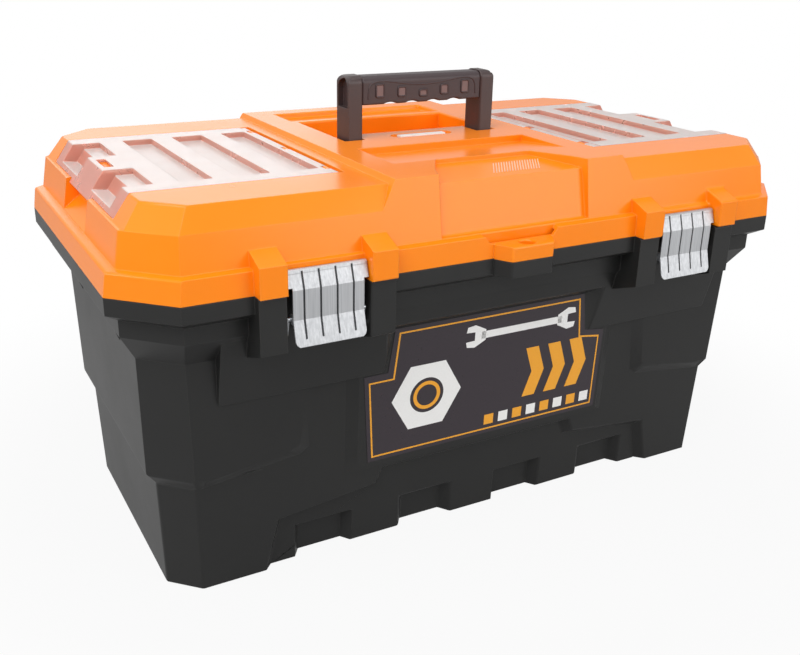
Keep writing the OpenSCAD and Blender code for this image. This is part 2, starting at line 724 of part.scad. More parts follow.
module lid_shell() {
    color("#ff8a1a")
    difference() {
        union() {
            difference() {
                union() {
                    levels(lid_levels(rim_z, 0));
                    loft([rect_ring(block_half(bevel_z), lid_front_y(bevel_z), bevel_z),
                          rect_ring(block_half(block_z), lid_front_y(block_z), block_z)]);
                }
                levels(lid_levels(rim_z - eps, wall), wall);
                loft([rect_ring(block_half(bevel_z) - wall, lid_front_y(bevel_z) - wall, bevel_z - wall - 1),
                      rect_ring(block_half(block_z) - wall, lid_front_y(block_z) - wall, block_z - wall)]);
                // Rim dips beside the padlock tab
                along_y(-rim_hy - 1, -rim_hy + lid_wall_in[1], [
                    [-dip_hx[0], band_z + 2], [-dip_hx[1], tab_top],
                    [dip_hx[1], tab_top], [dip_hx[0], band_z + 2]]);
                // Rim set back behind the latch hooks
                both_sides()
                    box([latch_x - latch_gap / 2, latch_x + latch_gap / 2], [-rim_hy - 1, -catch_y],
                        [rim_z - 1, band_z + 2]);
            }
            both_sides() organiser_backing();
            handle_room(skin);
            ramp_room(skin);
            back_tray_room(skin);
            scoop_room(skin);
            both_sides() {
                // Catch behind each hook
                box([latch_x - latch_gap / 2 - 1, latch_x + latch_gap / 2 + 1],
                    [-catch_y, -rim_hy + lid_wall_in[1] + wall], [rim_z, band_z]);
                for (e = ear_x)
                    along_x(e[0], e[1], [
                        [-lid_ear_y, rim_z], [-lid_ear_y, lid_ear_z[0]],
                        [-lid_front_y(lid_ear_z[1]) + wall / 2, lid_ear_z[1]],
                        [-rim_hy + lid_wall_in[1] + wall / 2, rim_z]]);
                for (x = [slot_x[0] - boss_l, slot_x[1]])
                    rod_x(boss_r, [x, x + boss_l], pivot_y, pivot_z);
                hinge_knuckle(hinge_x, rim_z, rim_z + 1.4 * knuckle_r);
            }
            // Wall behind the rim dips
            box([-dip_hx[0] - 2, dip_hx[0] + 2],
                [-rim_hy + lid_wall_in[1] - eps, -rim_hy + lid_wall_in[1] + wall], [rim_z, lid_wall_z]);
            translate([0, 0, rim_z]) linear_extrude(tab_top - rim_z) polygon(tab_plan);
        }
        both_sides() {
            organiser_cuts();
            rod_x(handle_pin_r, pin_x, pivot_y, pivot_z);
            rod_x(hinge_pin_r + run, [hinge_x - hinge_span, hinge_x + hinge_span], hinge_y, rim_z);
        }
        handle_room(0);
        ramp_room(0);
        back_tray_room(0);
        scoop_room(0);
        platform_slot();
        translate([0, -padlock_y, rim_z - 1]) cylinder(r = padlock_r, h = tab_top - rim_z + 2);
    }
    color("#ff8a1a") both_sides() {
        cover_lugs();
        window_ledge();
    }
}

module organiser_divider(x) {
    hy = pocket_hy + divider_slot - divider_gap;
    color("#d9d4cf")
        box([x - divider_t / 2, x + divider_t / 2], [-hy, hy], [pocket_z, divider_top]);
}

module handle_pin(side) {
    color("#b9bcc0")
    rod_x(handle_pin_r, side > 0 ? pin_x : [-pin_x[1], -pin_x[0]], pivot_y, pivot_z);
}

module cover_pin() {
    color("#b9bcc0")
    rod_y(cover_pin_r, cover_axis_x, [-cover_hy + 1, cover_hy - 1], cover_axis_z);
}

// Carry handle: two legs, round about the pivot, with a soft sleeve on the bar between them
handle_top = block_z + handle_rise;
grip_z = handle_top - grip_h;
edge_r = 6;
finger_x = [-30, -10, 10, 30];
finger_r = 12;
finger_depth = 1.4;
sleeve_in = 0.8;
hollow_depth = 5;
hollow_rim = 2.2;
hollow_foot = grip_z - 2;
// Grip pads from the middle outwards: height of the centre above the grip's underside, and height of the pad
pad_pitch = 20;
pad_rise = [7.5, 9.4, 10.8];
pad_h = [5, 7.4, 9.9];
pad_w = 7;
pad_sink = 1.5;
pad_proud = 0.4;

// Side view of the handle in Y and Z, set in by inset
module handle_profile(inset) {
    h = handle_top - pivot_z;
    translate([pivot_y, pivot_z]) circle(r = leg_r - inset);
    translate([pivot_y - leg_r + inset, pivot_z]) square([handle_d - 2 * inset, h - edge_r]);
    translate([pivot_y - leg_r + edge_r, pivot_z]) square([handle_d - 2 * edge_r, h - inset]);
    for (s = [-1, 1])
        translate([pivot_y + s * (leg_r - edge_r), handle_top - edge_r]) circle(r = edge_r - inset);
}

// Right leg, rounded at its outer top corner and hollow in its outer face
module handle_leg() {
    y = [pivot_y - leg_r - 1, pivot_y + leg_r + 1];
    hollow_r = leg_r - hollow_rim;
    hollow_z = handle_top - hollow_rim - hollow_r;
    difference() {
        intersection() {
            translate([leg_x[0], 0, 0]) rotate([90, 0, 90]) linear_extrude(leg_w) handle_profile(0);
            union() {
                box(leg_x, y, [pivot_z - leg_r - 1, handle_top - edge_r]);
                box([leg_x[0], leg_x[1] - edge_r], y, [pivot_z, handle_top + 1]);
                rod_y(edge_r, leg_x[1] - edge_r, y, handle_top - edge_r);
            }
        }
        translate([leg_x[1] - hollow_depth, pivot_y, 0]) rotate([90, 0, 90]) linear_extrude(far) {
            translate([0, hollow_z]) circle(r = hollow_r);
            translate([-hollow_r, hollow_foot]) square([2 * hollow_r, hollow_z - hollow_foot]);
        }
    }
}

// Bar between the legs, inside the soft sleeve
module handle_core() {
    box([-leg_x[0] - eps, leg_x[0] + eps], [pivot_y - leg_r + 2 * sleeve_t, pivot_y + leg_r - 2 * sleeve_t],
        [grip_z + 2 * sleeve_t, handle_top - 2 * sleeve_t]);
}

module handle_frame() {
    color("#2c2624")
    difference() {
        union() {
            both_sides() handle_leg();
            handle_core();
        }
        both_sides() rod_x(handle_pin_r + run, [leg_x[0] - 1, leg_x[1] + 1], pivot_y, pivot_z);
    }
}

module handle_sleeve() {
    color("#332b29")
    difference() {
        translate([-leg_x[0], 0, 0]) rotate([90, 0, 90])
            linear_extrude(2 * leg_x[0]) handle_profile(sleeve_in);
        box([-handle_l, handle_l], [-handle_l, handle_l], [pivot_z - far, grip_z]);
        for (x = finger_x)
            rod_y(finger_r + finger_depth, x, [-handle_d, handle_d], grip_z - finger_r);
        handle_core();
        grip_pads(1);
    }
}

// Soft inserts on the front and back of the grip, in a shallow curve
module grip_pads(proud) {
    out = leg_r - sleeve_in + (proud - pad_sink) / 2;
    for (k = [-2:2])
        for (s = [-1, 1])
            translate([k * pad_pitch, pivot_y + s * out, grip_z + pad_rise[abs(k)]])
                cube([pad_w, pad_sink + proud, pad_h[abs(k)]], center = true);
}

module handle_grip_pads() {
    color("#4d4542") grip_pads(pad_proud);
}

// Clear cover: framed plate with wells between raised bars, a tongue, a flap and hinge barrels
cover_l = rim_hx - top_in[0] - cover_x0;
well_span = [[0.021, 0.16], [0.279, 0.453], [0.571, 0.732]];
cover_well_x = concat([for (w = well_span) [cover_x0 + w[0] * cover_l, cover_x0 + w[1] * cover_l]],
    [cover_x0 + 0.857 * cover_l]);
well_hy = cover_hy - 18;
tongue_hy = 24;
window_x = [cover_x0 + 0.93 * cover_l, cover_x0 + 0.976 * cover_l];
window_hy = 14;
pull_hy = notch_hy - 2;
pull_drop = 4;
barrel_gap = 0.6;
lug_room = lug_t / 2 + barrel_gap;
barrel_y = [[-cover_hy + seat, lug_y[0] - lug_room], [lug_y[0] + lug_room, lug_y[1] - lug_room],
            [lug_y[1] + lug_room, lug_y[2] - lug_room], [lug_y[2] + lug_room, cover_hy - seat]];

module wells(grow, z0, z1) {
    for (k = [0:2])
        box([cover_well_x[k][0] - grow, cover_well_x[k][1] + grow],
            [-well_hy - grow, well_hy + grow], [z0, z1]);
}

module cover() {
    color("#f4e6e2", 0.55)
    difference() {
        union() {
            along_y(-cover_hy, cover_hy, sheet(cover_path(cover_x0, 0), 0, -cover_t));
            wells(well_wall, well_bottom, top_z - cover_t / 2);
            niches(-cover_t / 2, well_wall);
            for (b = barrel_y) {
                rod_y(cover_barrel_r, cover_axis_x, b, cover_axis_z);
                box([cover_axis_x, cover_x0 + 1], b, [top_z - cover_t, top_z - 0.3]);
            }
            // Finger pull in the middle of the flap
            along_y(-pull_hy, pull_hy, sheet(cover_path(cover_edge[0] - cover_t, pull_drop), 0, -cover_t));
        }
        wells(0, top_z - well_depth, top_z + 1);
        niches(1, 0);
        rod_y(cover_pin_r + run, cover_axis_x, [-cover_hy, cover_hy], cover_axis_z);
        // Window in the tongue
        box(window_x, [-window_hy, window_hy], [top_z - far, top_z + 1]);
    }
}

// Stamped lever: outer face of the sheet in Y and Z, from the curled tip down to the finger tab
catch_y = rim_hy - 2.7;
lever_face = -rim_hy - 6;
curl_r = 2.5;
curl_z = rim_z + 12;
hook_y = lever_face + 3.2;
curl_turn = 168;
curl_step = 28;
finger_tab = [-4.5, -17.5];
bend_z = rim_z + 1.5;
lever_path = concat(
    [for (a = [curl_turn:-curl_step:0]) [hook_y + curl_r - curl_r * cos(a), curl_z + curl_r * sin(a)]],
    [[hook_y, curl_z - 0.5], [lever_face, bend_z],
     [lever_face, lever_z], [lever_face, lever_z] + finger_tab]);

// Sheet of the given depths behind a path, as one closed outline
function normal(p, q) = let (d = q - p) [-d[1], d[0]] / norm(d);
function sheet_point(path, i, depth) =
    let (n0 = normal(path[max(i - 1, 0)], path[max(i, 1)]),
         n1 = normal(path[min(i, len(path) - 2)], path[min(i + 1, len(path) - 1)]),
         m = (n0 + n1) / norm(n0 + n1))
    path[i] + m * depth / (m * n0);
function sheet(path, d0, d1) = concat(
    [for (i = [0:len(path) - 1]) sheet_point(path, i, d0)],
    [for (i = [len(path) - 1:-1:0]) sheet_point(path, i, d1)]);

groove_w = 1.4;
groove_depth = 0.45;
groove_pitch = plate_w * 0.23;
// Grooves start under the curl and stop short of the finger tab's edge
groove_first = 5;
groove_stop = [1.2, 4.7];
lever_last = len(lever_path) - 1;
groove_path = concat([for (i = [groove_first:lever_last - 1]) lever_path[i]],
    [lever_path[lever_last] + groove_stop]);
tab_corner = 5;
tab_bottom = lever_z - 18;

module lever() {
    y = [-rim_hy - far, -rim_hy + far];
    color("#c9ccd0")
    difference() {
        union() {
            intersection() {
                along_x(-hook_w / 2, hook_w / 2, sheet(lever_path, 0, plate_t));
                union() {
                    box([-hook_w / 2, hook_w / 2], y, [bend_z + 1.5, curl_z + far]);
                    box([-plate_w / 2, plate_w / 2], y, [tab_bottom + tab_corner, bend_z + 2]);
                    box([-plate_w / 2 + tab_corner, plate_w / 2 - tab_corner], y,
                        [tab_bottom, tab_bottom + tab_corner + 1]);
                    both_sides() rod_y(tab_corner, plate_w / 2 - tab_corner, y, tab_bottom + tab_corner);
                }
            }
            // Side flanges that carry the bail
            both_sides() {
                rod_x(wire_r + 2, [plate_w / 2 - plate_t, plate_w / 2], lever_y, lever_z);
                box([plate_w / 2 - plate_t, plate_w / 2], [lever_face + plate_t / 2, lever_y],
                    [lever_z - wire_r - 2, lever_z + wire_r + 2]);
            }
        }
        // Stamped grooves
        for (k = [-1.5:1:1.5])
            along_x(k * groove_pitch - groove_w / 2, k * groove_pitch + groove_w / 2,
                sheet(groove_path, -1, groove_depth));
        rod_x(wire_r + run, [-plate_w, plate_w], lever_y, lever_z);
    }
}

// Sprung wire: a cross bar in the lever, an arm down each side and an end in each ear
module bail() {
    color("#a8abb0")
    {
        rod_x(wire_r, [-bail_arm_x, bail_arm_x], lever_y, lever_z);
        both_sides() {
            translate([bail_arm_x, lever_y, lever_z]) sphere(r = wire_r);
            translate([bail_arm_x, bail_y, bail_z]) sphere(r = wire_r);
            translate([bail_arm_x, lever_y, lever_z])
                rotate([atan2(lever_y - bail_y, bail_z - lever_z), 0, 0])
                    cylinder(r = wire_r, h = norm([bail_y - lever_y, bail_z - lever_z]));
            rod_x(wire_r, [bail_arm_x, bail_reach], bail_y, bail_z);
        }
    }
}

// Lift-out tray with a flange, one long and three short compartments and a carry bar
tray_in = [31, 38];
flange_in = [18.5, 22];
tray_z1 = tray_seat_z + tray_wall;
tray_z0 = tray_seat_z - tray_depth;
tray_taper = 3;
tray_chamfer = wall_chamfer - 4;
flange_chamfer = wall_chamfer + 3;
tray_partition_y = 14;
bar_t = 5;
bar_hx = 60;
bar_corner = 8;
bar_leg = 14;
bar_root = 14;
partition_drop = 4;
divider_drop = 6;
socket_t = 2;
bar_mid_y = tray_partition_y + bar_t / 2 + socket_t;
bar_top = tray_z1 + tray_bar_rise;
tray_split = body_l * 0.154;

module tray_block(z0, z1, shrink = 0) {
    foot = tray_in + [tray_taper, tray_taper];
    levels([level(z0, foot, tray_chamfer), level(z1, tray_in, tray_chamfer)], shrink);
}

module tote_tray() {
    color("#3a3b3f")
    difference() {
        union() {
            difference() {
                union() {
                    tray_block(tray_z0, tray_z1);
                    levels([level(tray_seat_z, flange_in, flange_chamfer),
                            level(tray_z1, flange_in, flange_chamfer)]);
                }
                tray_block(tray_z0 + tray_wall, tray_z1 + 1, tray_wall);
            }
            intersection() {
                tray_block(tray_z0, tray_z1);
                union() {
                    box([-rim_hx, rim_hx], [bar_mid_y - tray_wall / 2, bar_mid_y + tray_wall / 2],
                        [tray_z0, tray_z1]);
                    box([-bar_hx - socket_t, bar_hx + socket_t],
                        [tray_partition_y, tray_partition_y + bar_t + 2 * socket_t],
                        [tray_z1 - bar_root - socket_t, tray_z1]);
                    both_sides()
                        box([tray_split - tray_wall / 2, tray_split + tray_wall / 2], [-rim_hy, bar_mid_y],
                            [tray_z0, tray_z1 - partition_drop]);
                }
            }
        }
        // Socket of the carry bar
        box([-bar_hx, bar_hx], [bar_mid_y - bar_t / 2, bar_mid_y + bar_t / 2],
            [tray_z1 - bar_root, tray_z1 + 1]);
    }
}

// Carry bar: a flat bridge pushed into the tray's thick partition
module tray_carry_bar() {
    color("#2a2b2e")
    difference() {
        along_y(bar_mid_y - bar_t / 2, bar_mid_y + bar_t / 2, [
            [-bar_hx, tray_z1 - bar_root], [bar_hx, tray_z1 - bar_root], [bar_hx, bar_top - bar_corner],
            [bar_hx - bar_corner, bar_top], [bar_corner - bar_hx, bar_top], [-bar_hx, bar_top - bar_corner]]);
        box([-bar_hx + bar_leg, bar_hx - bar_leg], [bar_mid_y - bar_t, bar_mid_y + bar_t],
            [tray_z1 + 1, bar_top - bar_corner]);
    }
}

module tray_divider(x) {
    color("#d9d4cf")
        box([x - divider_t / 2, x + divider_t / 2],
            [-rim_hy + tray_in[1] + tray_taper + tray_wall + 1.5, bar_mid_y - tray_wall / 2 - 0.2],
            [tray_z0 + tray_wall, tray_z1 - divider_drop]);
}

base_tub();
front_label();
hinge_pin(-1);  // hinge_pin_left
hinge_pin(1);  // hinge_pin_right
lid_shell();
mirror([1, 0, 0]) organiser_divider(divider_x[0]);  // left_divider_1
mirror([1, 0, 0]) organiser_divider(divider_x[1]);  // left_divider_2
mirror([1, 0, 0]) organiser_divider(divider_x[2]);  // left_divider_3
organiser_divider(divider_x[0]);  // right_divider_1
organiser_divider(divider_x[1]);  // right_divider_2
organiser_divider(divider_x[2]);  // right_divider_3
handle_pin(-1);  // handle_pin_left
handle_pin(1);  // handle_pin_right
mirror([1, 0, 0]) cover_pin();  // left_cover_pin
cover_pin();  // right_cover_pin
slot_plate();
handle_frame();
handle_sleeve();
handle_grip_pads();
mirror([1, 0, 0]) cover();  // left_cover
cover();  // right_cover
translate([-latch_x, 0, 0]) bail();  // left_latch_bail
translate([latch_x, 0, 0]) bail();  // right_latch_bail
translate([-latch_x, 0, 0]) lever();  // left_latch_lever
translate([latch_x, 0, 0]) lever();  // right_latch_lever
tote_tray();
tray_divider(-2 * tray_split);  // tray_divider_left
tray_divider(2 * tray_split);  // tray_divider_right
tray_carry_bar();
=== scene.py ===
"""Portable tool box: rounded mouldings, finishes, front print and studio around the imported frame."""

import json
import logging
import math
from dataclasses import dataclass, field
from enum import Enum
from typing import Any, Sequence

import bmesh
import bpy
from mathutils import Matrix, Vector
from mathutils.bvhtree import BVHTree
from mathutils.geometry import area_tri, intersect_point_line

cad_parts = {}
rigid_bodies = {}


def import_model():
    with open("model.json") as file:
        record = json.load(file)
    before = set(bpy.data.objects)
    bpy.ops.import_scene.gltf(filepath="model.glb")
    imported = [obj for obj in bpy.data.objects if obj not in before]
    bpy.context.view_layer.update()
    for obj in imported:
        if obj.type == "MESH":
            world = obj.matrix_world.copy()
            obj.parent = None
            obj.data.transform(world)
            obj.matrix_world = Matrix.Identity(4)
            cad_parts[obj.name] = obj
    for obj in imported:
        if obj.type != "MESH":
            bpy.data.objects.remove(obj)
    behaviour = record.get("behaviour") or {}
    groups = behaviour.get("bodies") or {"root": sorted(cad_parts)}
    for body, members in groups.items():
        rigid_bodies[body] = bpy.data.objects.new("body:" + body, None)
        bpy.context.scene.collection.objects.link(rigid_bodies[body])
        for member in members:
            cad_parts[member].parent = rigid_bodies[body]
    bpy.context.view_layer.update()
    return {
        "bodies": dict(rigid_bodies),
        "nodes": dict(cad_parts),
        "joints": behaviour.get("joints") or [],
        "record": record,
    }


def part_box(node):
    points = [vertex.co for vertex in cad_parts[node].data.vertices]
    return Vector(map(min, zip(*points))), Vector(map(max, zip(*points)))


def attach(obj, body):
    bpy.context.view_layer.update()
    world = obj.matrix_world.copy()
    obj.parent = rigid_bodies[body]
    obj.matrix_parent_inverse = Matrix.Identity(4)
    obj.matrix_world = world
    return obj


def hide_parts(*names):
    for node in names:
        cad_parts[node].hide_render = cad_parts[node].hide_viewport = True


LOG = logging.getLogger("tool_box")
MM = 0.001

# Sockets of the colour form of the Mix node
MIX_FACTOR, MIX_A, MIX_B, MIX_RESULT = 0, 6, 7, 2
# Rays that the shader sends out to find an edge
BEVEL_SAMPLES = 4

Socket = bpy.types.NodeSocket
Point = tuple[float, float]


class Side(Enum):
    """The two ends of the box, with the sign of X there."""

    LEFT = -1
    RIGHT = 1

    @property
    def word(self) -> str:
        """Give the side's word as it stands in node and body names."""
        return self.name.lower()


def linear(colour: str) -> tuple[float, float, float, float]:
    """Turn an sRGB hex colour into linear light.

    Args:
        colour: Text such as "#ff8800".

    Returns:
        Red, green, blue and an alpha of 1.
    """
    values = [int(colour[i : i + 2], 16) / 255 for i in (1, 3, 5)]
    curve = [v / 12.92 if v <= 0.04045 else ((v + 0.055) / 1.055) ** 2.4 for v in values]
    return curve[0], curve[1], curve[2], 1.0


def per_metre(size_mm: float) -> float:
    """Give the texture scale whose pattern repeats about every size_mm."""
    return 1 / (size_mm * MM)


def add_node(
    tree: bpy.types.NodeTree, kind: str, settings: dict[str, Any], inputs: dict[Any, Any]
) -> bpy.types.Node:
    """Add one node with its settings and links.

    Args:
        tree: The material's or world's node tree.
        kind: The node's type.
        settings: Properties of the node.
        inputs: Sockets by name or number, each with a value or a socket to link from.

    Returns:
        The new node.
    """
    node = tree.nodes.new(kind)
    for key, value in settings.items():
        setattr(node, key, value)
    for key, value in inputs.items():
        if isinstance(value, Socket):
            tree.links.new(value, node.inputs[key])
        else:
            node.inputs[key].default_value = value
    return node


def new_material(name: str) -> tuple[bpy.types.Material, bpy.types.NodeTree, bpy.types.Node]:
    """Make a material with one Principled shader.

    Args:
        name: The material's name.

    Returns:
        The material, its node tree and the shader node.
    """
    material = bpy.data.materials.new(name)
    material.use_nodes = True
    tree = material.node_tree
    return material, tree, tree.nodes["Principled BSDF"]


def sway(
    tree: bpy.types.NodeTree, shader: bpy.types.Node, share: Socket, tones: Sequence[str], roughs: Point
) -> Socket:
    """Let a pattern move a shader's colour and roughness between two values each.

    Args:
        tree: The material's node tree.
        shader: Its Principled shader.
        share: The pattern, from 0 to 1.
        tones: The colours at 0 and at 1.
        roughs: The roughness at 0 and at 1.

    Returns:
        The moving colour, which is also linked to the shader.
    """
    tone = add_node(
        tree, "ShaderNodeMix", {"data_type": "RGBA"},
        {MIX_FACTOR: share, MIX_A: linear(tones[0]), MIX_B: linear(tones[1])}).outputs[MIX_RESULT]
    rough = add_node(
        tree, "ShaderNodeMapRange", {}, {"Value": share, "To Min": roughs[0], "To Max": roughs[1]})
    tree.links.new(tone, shader.inputs["Base Color"])
    tree.links.new(rough.outputs["Result"], shader.inputs["Roughness"])
    return tone


@dataclass(frozen=True)
class MouldedPlastic:
    """Injection-moulded plastic: an even tone, a faint flow mottle, a fine tool grain and rubbed edges."""

    name: str
    colour: str
    mottle: str
    edge: str
    roughness: float
    grain_mm: float
    grain_depth_mm: float
    edge_mm: float = 1.0
    mottle_mm: float = 70.0
    gloss_spread: float = 0.05
    rub_start: float = 0.995
    rub_full: float = 0.80
    rub_share: float = 0.55
    ior: float = 1.49
    specular: float = 0.5

    def build(self) -> bpy.types.Material:
        """Build the material from its tones, grain and edge width.

        Returns:
            The material.
        """
        material, tree, shader = new_material(self.name)
        place = add_node(tree, "ShaderNodeTexCoord", {}, {}).outputs["Object"]
        flow = add_node(
            tree, "ShaderNodeTexNoise", {},
            {"Vector": place, "Scale": per_metre(self.mottle_mm), "Detail": 4.0, "Roughness": 0.6})
        tone = sway(
            tree, shader, flow.outputs["Fac"], (self.colour, self.mottle),
            (self.roughness - self.gloss_spread, self.roughness + self.gloss_spread))
        edge = add_node(tree, "ShaderNodeBevel", {"samples": BEVEL_SAMPLES}, {"Radius": self.edge_mm * MM})
        soft = edge.outputs["Normal"]
        true = add_node(tree, "ShaderNodeNewGeometry", {}, {}).outputs["Normal"]
        turn = add_node(tree, "ShaderNodeVectorMath", {"operation": "DOT_PRODUCT"}, {0: soft, 1: true})
        rubbed = add_node(
            tree, "ShaderNodeMapRange", {},
            {"Value": turn.outputs["Value"], "From Min": self.rub_start, "From Max": self.rub_full,
             "To Max": self.rub_share})
        worn = add_node(
            tree, "ShaderNodeMix", {"data_type": "RGBA"},
            {MIX_FACTOR: rubbed.outputs["Result"], MIX_A: tone, MIX_B: linear(self.edge)})
        grain = add_node(
            tree, "ShaderNodeTexNoise", {},
            {"Vector": place, "Scale": per_metre(self.grain_mm), "Detail": 2.0})
        bump = add_node(
            tree, "ShaderNodeBump", {},
            {"Strength": 1.0, "Distance": self.grain_depth_mm * MM, "Height": grain.outputs["Fac"],
             "Normal": soft})
        tree.links.new(worn.outputs[MIX_RESULT], shader.inputs["Base Color"])
        tree.links.new(bump.outputs["Normal"], shader.inputs["Normal"])
        shader.inputs["IOR"].default_value = self.ior
        shader.inputs["Specular IOR Level"].default_value = self.specular
        return material


@dataclass(frozen=True)
class FrostedPlastic:
    """Milky clear plastic, moulded thin: it glows with the light behind it and blurs what lies under it."""

    name: str
    colour: str
    cloud: str
    roughness: float
    clearness: float
    gloss_spread: float = 0.04
    cloud_mm: float = 25.0
    ior: float = 1.49

    def build(self) -> bpy.types.Material:
        """Build the material from its two milk tones and its clearness.

        Returns:
            The material.
        """
        material, tree, shader = new_material(self.name)
        place = add_node(tree, "ShaderNodeTexCoord", {}, {}).outputs["Object"]
        cloud = add_node(
            tree, "ShaderNodeTexNoise", {},
            {"Vector": place, "Scale": per_metre(self.cloud_mm), "Detail": 3.0}).outputs["Fac"]
        sway(tree, shader, cloud, (self.colour, self.cloud),
             (self.roughness - self.gloss_spread, self.roughness + self.gloss_spread))
        shader.inputs["Transmission Weight"].default_value = self.clearness
        shader.inputs["IOR"].default_value = self.ior
        return material


@dataclass(frozen=True)
class RolledSteel:
    """Zinc-plated steel: a grey sheen with fine lines along the way it was rolled or drawn."""

    name: str
    colour: str
    line: str
    roughness: float
    line_mm: float
    run_mm: float
    across: tuple[bool, bool, bool] = (True, True, False)
    line_depth_mm: float = 0.02
    edge_mm: float = 0.4
    gloss_spread: float = 0.08

    def build(self) -> bpy.types.Material:
        """Build the material with its lines along the axis that isn't crossed.

        Returns:
            The material.
        """
        material, tree, shader = new_material(self.name)
        place = add_node(tree, "ShaderNodeTexCoord", {}, {}).outputs["Object"]
        scale = [per_metre(self.line_mm if crossed else self.run_mm) for crossed in self.across]
        drawn = add_node(tree, "ShaderNodeVectorMath", {"operation": "MULTIPLY"}, {0: place, 1: scale})
        rolled = add_node(
            tree, "ShaderNodeTexNoise", {},
            {"Vector": drawn.outputs["Vector"], "Scale": 1.0, "Detail": 3.0, "Roughness": 0.6})
        lines = rolled.outputs["Fac"]
        sway(tree, shader, lines, (self.line, self.colour),
             (self.roughness + self.gloss_spread, self.roughness - self.gloss_spread))
        edge = add_node(tree, "ShaderNodeBevel", {"samples": BEVEL_SAMPLES}, {"Radius": self.edge_mm * MM})
        bump = add_node(
            tree, "ShaderNodeBump", {},
            {"Strength": 1.0, "Distance": self.line_depth_mm * MM, "Height": lines,
             "Normal": edge.outputs["Normal"]})
        tree.links.new(bump.outputs["Normal"], shader.inputs["Normal"])
        shader.inputs["Metallic"].default_value = 1.0
        return material


@dataclass(frozen=True)
class PrintedFilm:
    """Ink on a glossy film: a flat tone with the soft dots of the print and a clear layer over it."""

    name: str
    colour: str
    dot: str
    roughness: float = 0.3
    gloss_spread: float = 0.05
    dot_mm: float = 1.5
    ior: float = 1.5
    coat: float = 0.3

    def build(self) -> bpy.types.Material:
        """Build the material; the dots are drawn coarser than a real screen, so that they show.

        Returns:
            The material.
        """
        material, tree, shader = new_material(self.name)
        place = add_node(tree, "ShaderNodeTexCoord", {}, {}).outputs["Object"]
        dots = add_node(
            tree, "ShaderNodeTexNoise", {},
            {"Vector": place, "Scale": per_metre(self.dot_mm), "Detail": 1.0}).outputs["Fac"]
        sway(tree, shader, dots, (self.colour, self.dot),
             (self.roughness - self.gloss_spread, self.roughness + self.gloss_spread))
        shader.inputs["IOR"].default_value = self.ior
        shader.inputs["Coat Weight"].default_value = self.coat
        return material


Finish = MouldedPlastic | FrostedPlastic | RolledSteel | PrintedFilm

# Charcoal polypropylene, moulded with a satin grain: dark, with broad dull highlights and paler rubbed edges
TUB_PLASTIC = MouldedPlastic(
    "moulded_charcoal_polypropylene", "#212121", "#262625", "#484845", 0.36, 1.4, 0.012, specular=0.34)
# Orange polypropylene from a smoother tool: strong colour with a pale sheen at low angles
LID_PLASTIC = MouldedPlastic(
    "moulded_orange_polypropylene", "#ff860c", "#ff8d14", "#ffaa50", 0.25, 1.6, 0.008, specular=0.34)
# The lid's finger ribs, coloured pale all over: a painted sheen in place of the light that their tops catch
RIB_SHEEN_PLASTIC = MouldedPlastic(
    "moulded_orange_polypropylene_ribs", "#ffd0aa", "#ffd6b4", "#ffe4cd", 0.30, 1.2, 0.006)
# White strip in the lid's slot; its near-white tone is a painted glint in place of the bright reflection on
# its top
SLOT_GLINT_PLASTIC = MouldedPlastic(
    "moulded_white_polystyrene", "#f4f2f0", "#f7f6f4", "#fbfaf9", 0.30, 1.2, 0.006)
# Frosted polypropylene of the covers, milky on the flats; the steep walls get a pinker copy, a painted glow
# of the light running along them
COVER_FLAT = FrostedPlastic("frosted_clear_polypropylene", "#f7efec", "#f3e4de", 0.30, 0.42)
COVER_WALL_GLOW = FrostedPlastic("frosted_clear_polypropylene_walls", "#f4b7a6", "#eda690", 0.28, 0.50)
# Pale polystyrene of the small dividers
DIVIDER_PLASTIC = MouldedPlastic(
    "moulded_pale_polystyrene", "#e2dedb", "#e7e4e1", "#efedeb", 0.34, 1.2, 0.010)
# Brown-black polypropylene of the handle, with a duller grain than the sleeve
HANDLE_PLASTIC = MouldedPlastic(
    "moulded_brown_black_polypropylene", "#372a2a", "#3e3030", "#6a5a58", 0.42, 1.2, 0.015)
# Soft grip sleeve, moulded over the handle: a little darker and smoother
SLEEVE_RUBBER = MouldedPlastic(
    "overmoulded_grip_rubber", "#33272a", "#3a2d2f", "#5e5052", 0.46, 0.9, 0.012)
# Grey-brown grip pads, duller than the sleeve
PAD_RUBBER = MouldedPlastic("moulded_pad_rubber", "#6b5a5a", "#756464", "#8a7a79", 0.58, 0.9, 0.015)
# Zinc-plated stamped sheet of the latches, with rolling lines down its height
LATCH_STEEL = RolledSteel("zinc_plated_stamped_steel", "#cfd0d2", "#9a9c9f", 0.52, 1.1, 60.0)
# The same sheet, darker in its pressed grooves: painted shade in place of the shade that falls in them
GROOVE_SHADE_STEEL = RolledSteel("zinc_plated_steel_grooves", "#4c4d4f", "#3a3b3d", 0.55, 1.1, 60.0)
# Bright drawn spring wire, lines along the wire's long run
WIRE_STEEL = RolledSteel(
    "zinc_plated_drawn_wire", "#c3c5c8", "#9da0a4", 0.28, 0.4, 20.0, (False, True, True))
# Turned pin steel, lines along the pin
PIN_STEEL = RolledSteel(
    "zinc_plated_turned_steel", "#b9bcc0", "#96999e", 0.30, 0.4, 12.0, (False, True, True))
# Front film: dark plum ground with orange and white ink
FILM_GROUND = PrintedFilm("printed_film_plum_ground", "#241a22", "#2b2029")
FILM_ORANGE = PrintedFilm("printed_film_orange_ink", "#f4a31b", "#f8ad2a")
FILM_WHITE = PrintedFilm("printed_film_white_ink", "#f1f0ee", "#f8f7f5")
# Charcoal polypropylene of the lift-out tray, a shade lighter than the tub
TRAY_PLASTIC = MouldedPlastic(
    "moulded_grey_polypropylene", "#2c2c2d", "#323233", "#555556", 0.42, 1.4, 0.015)


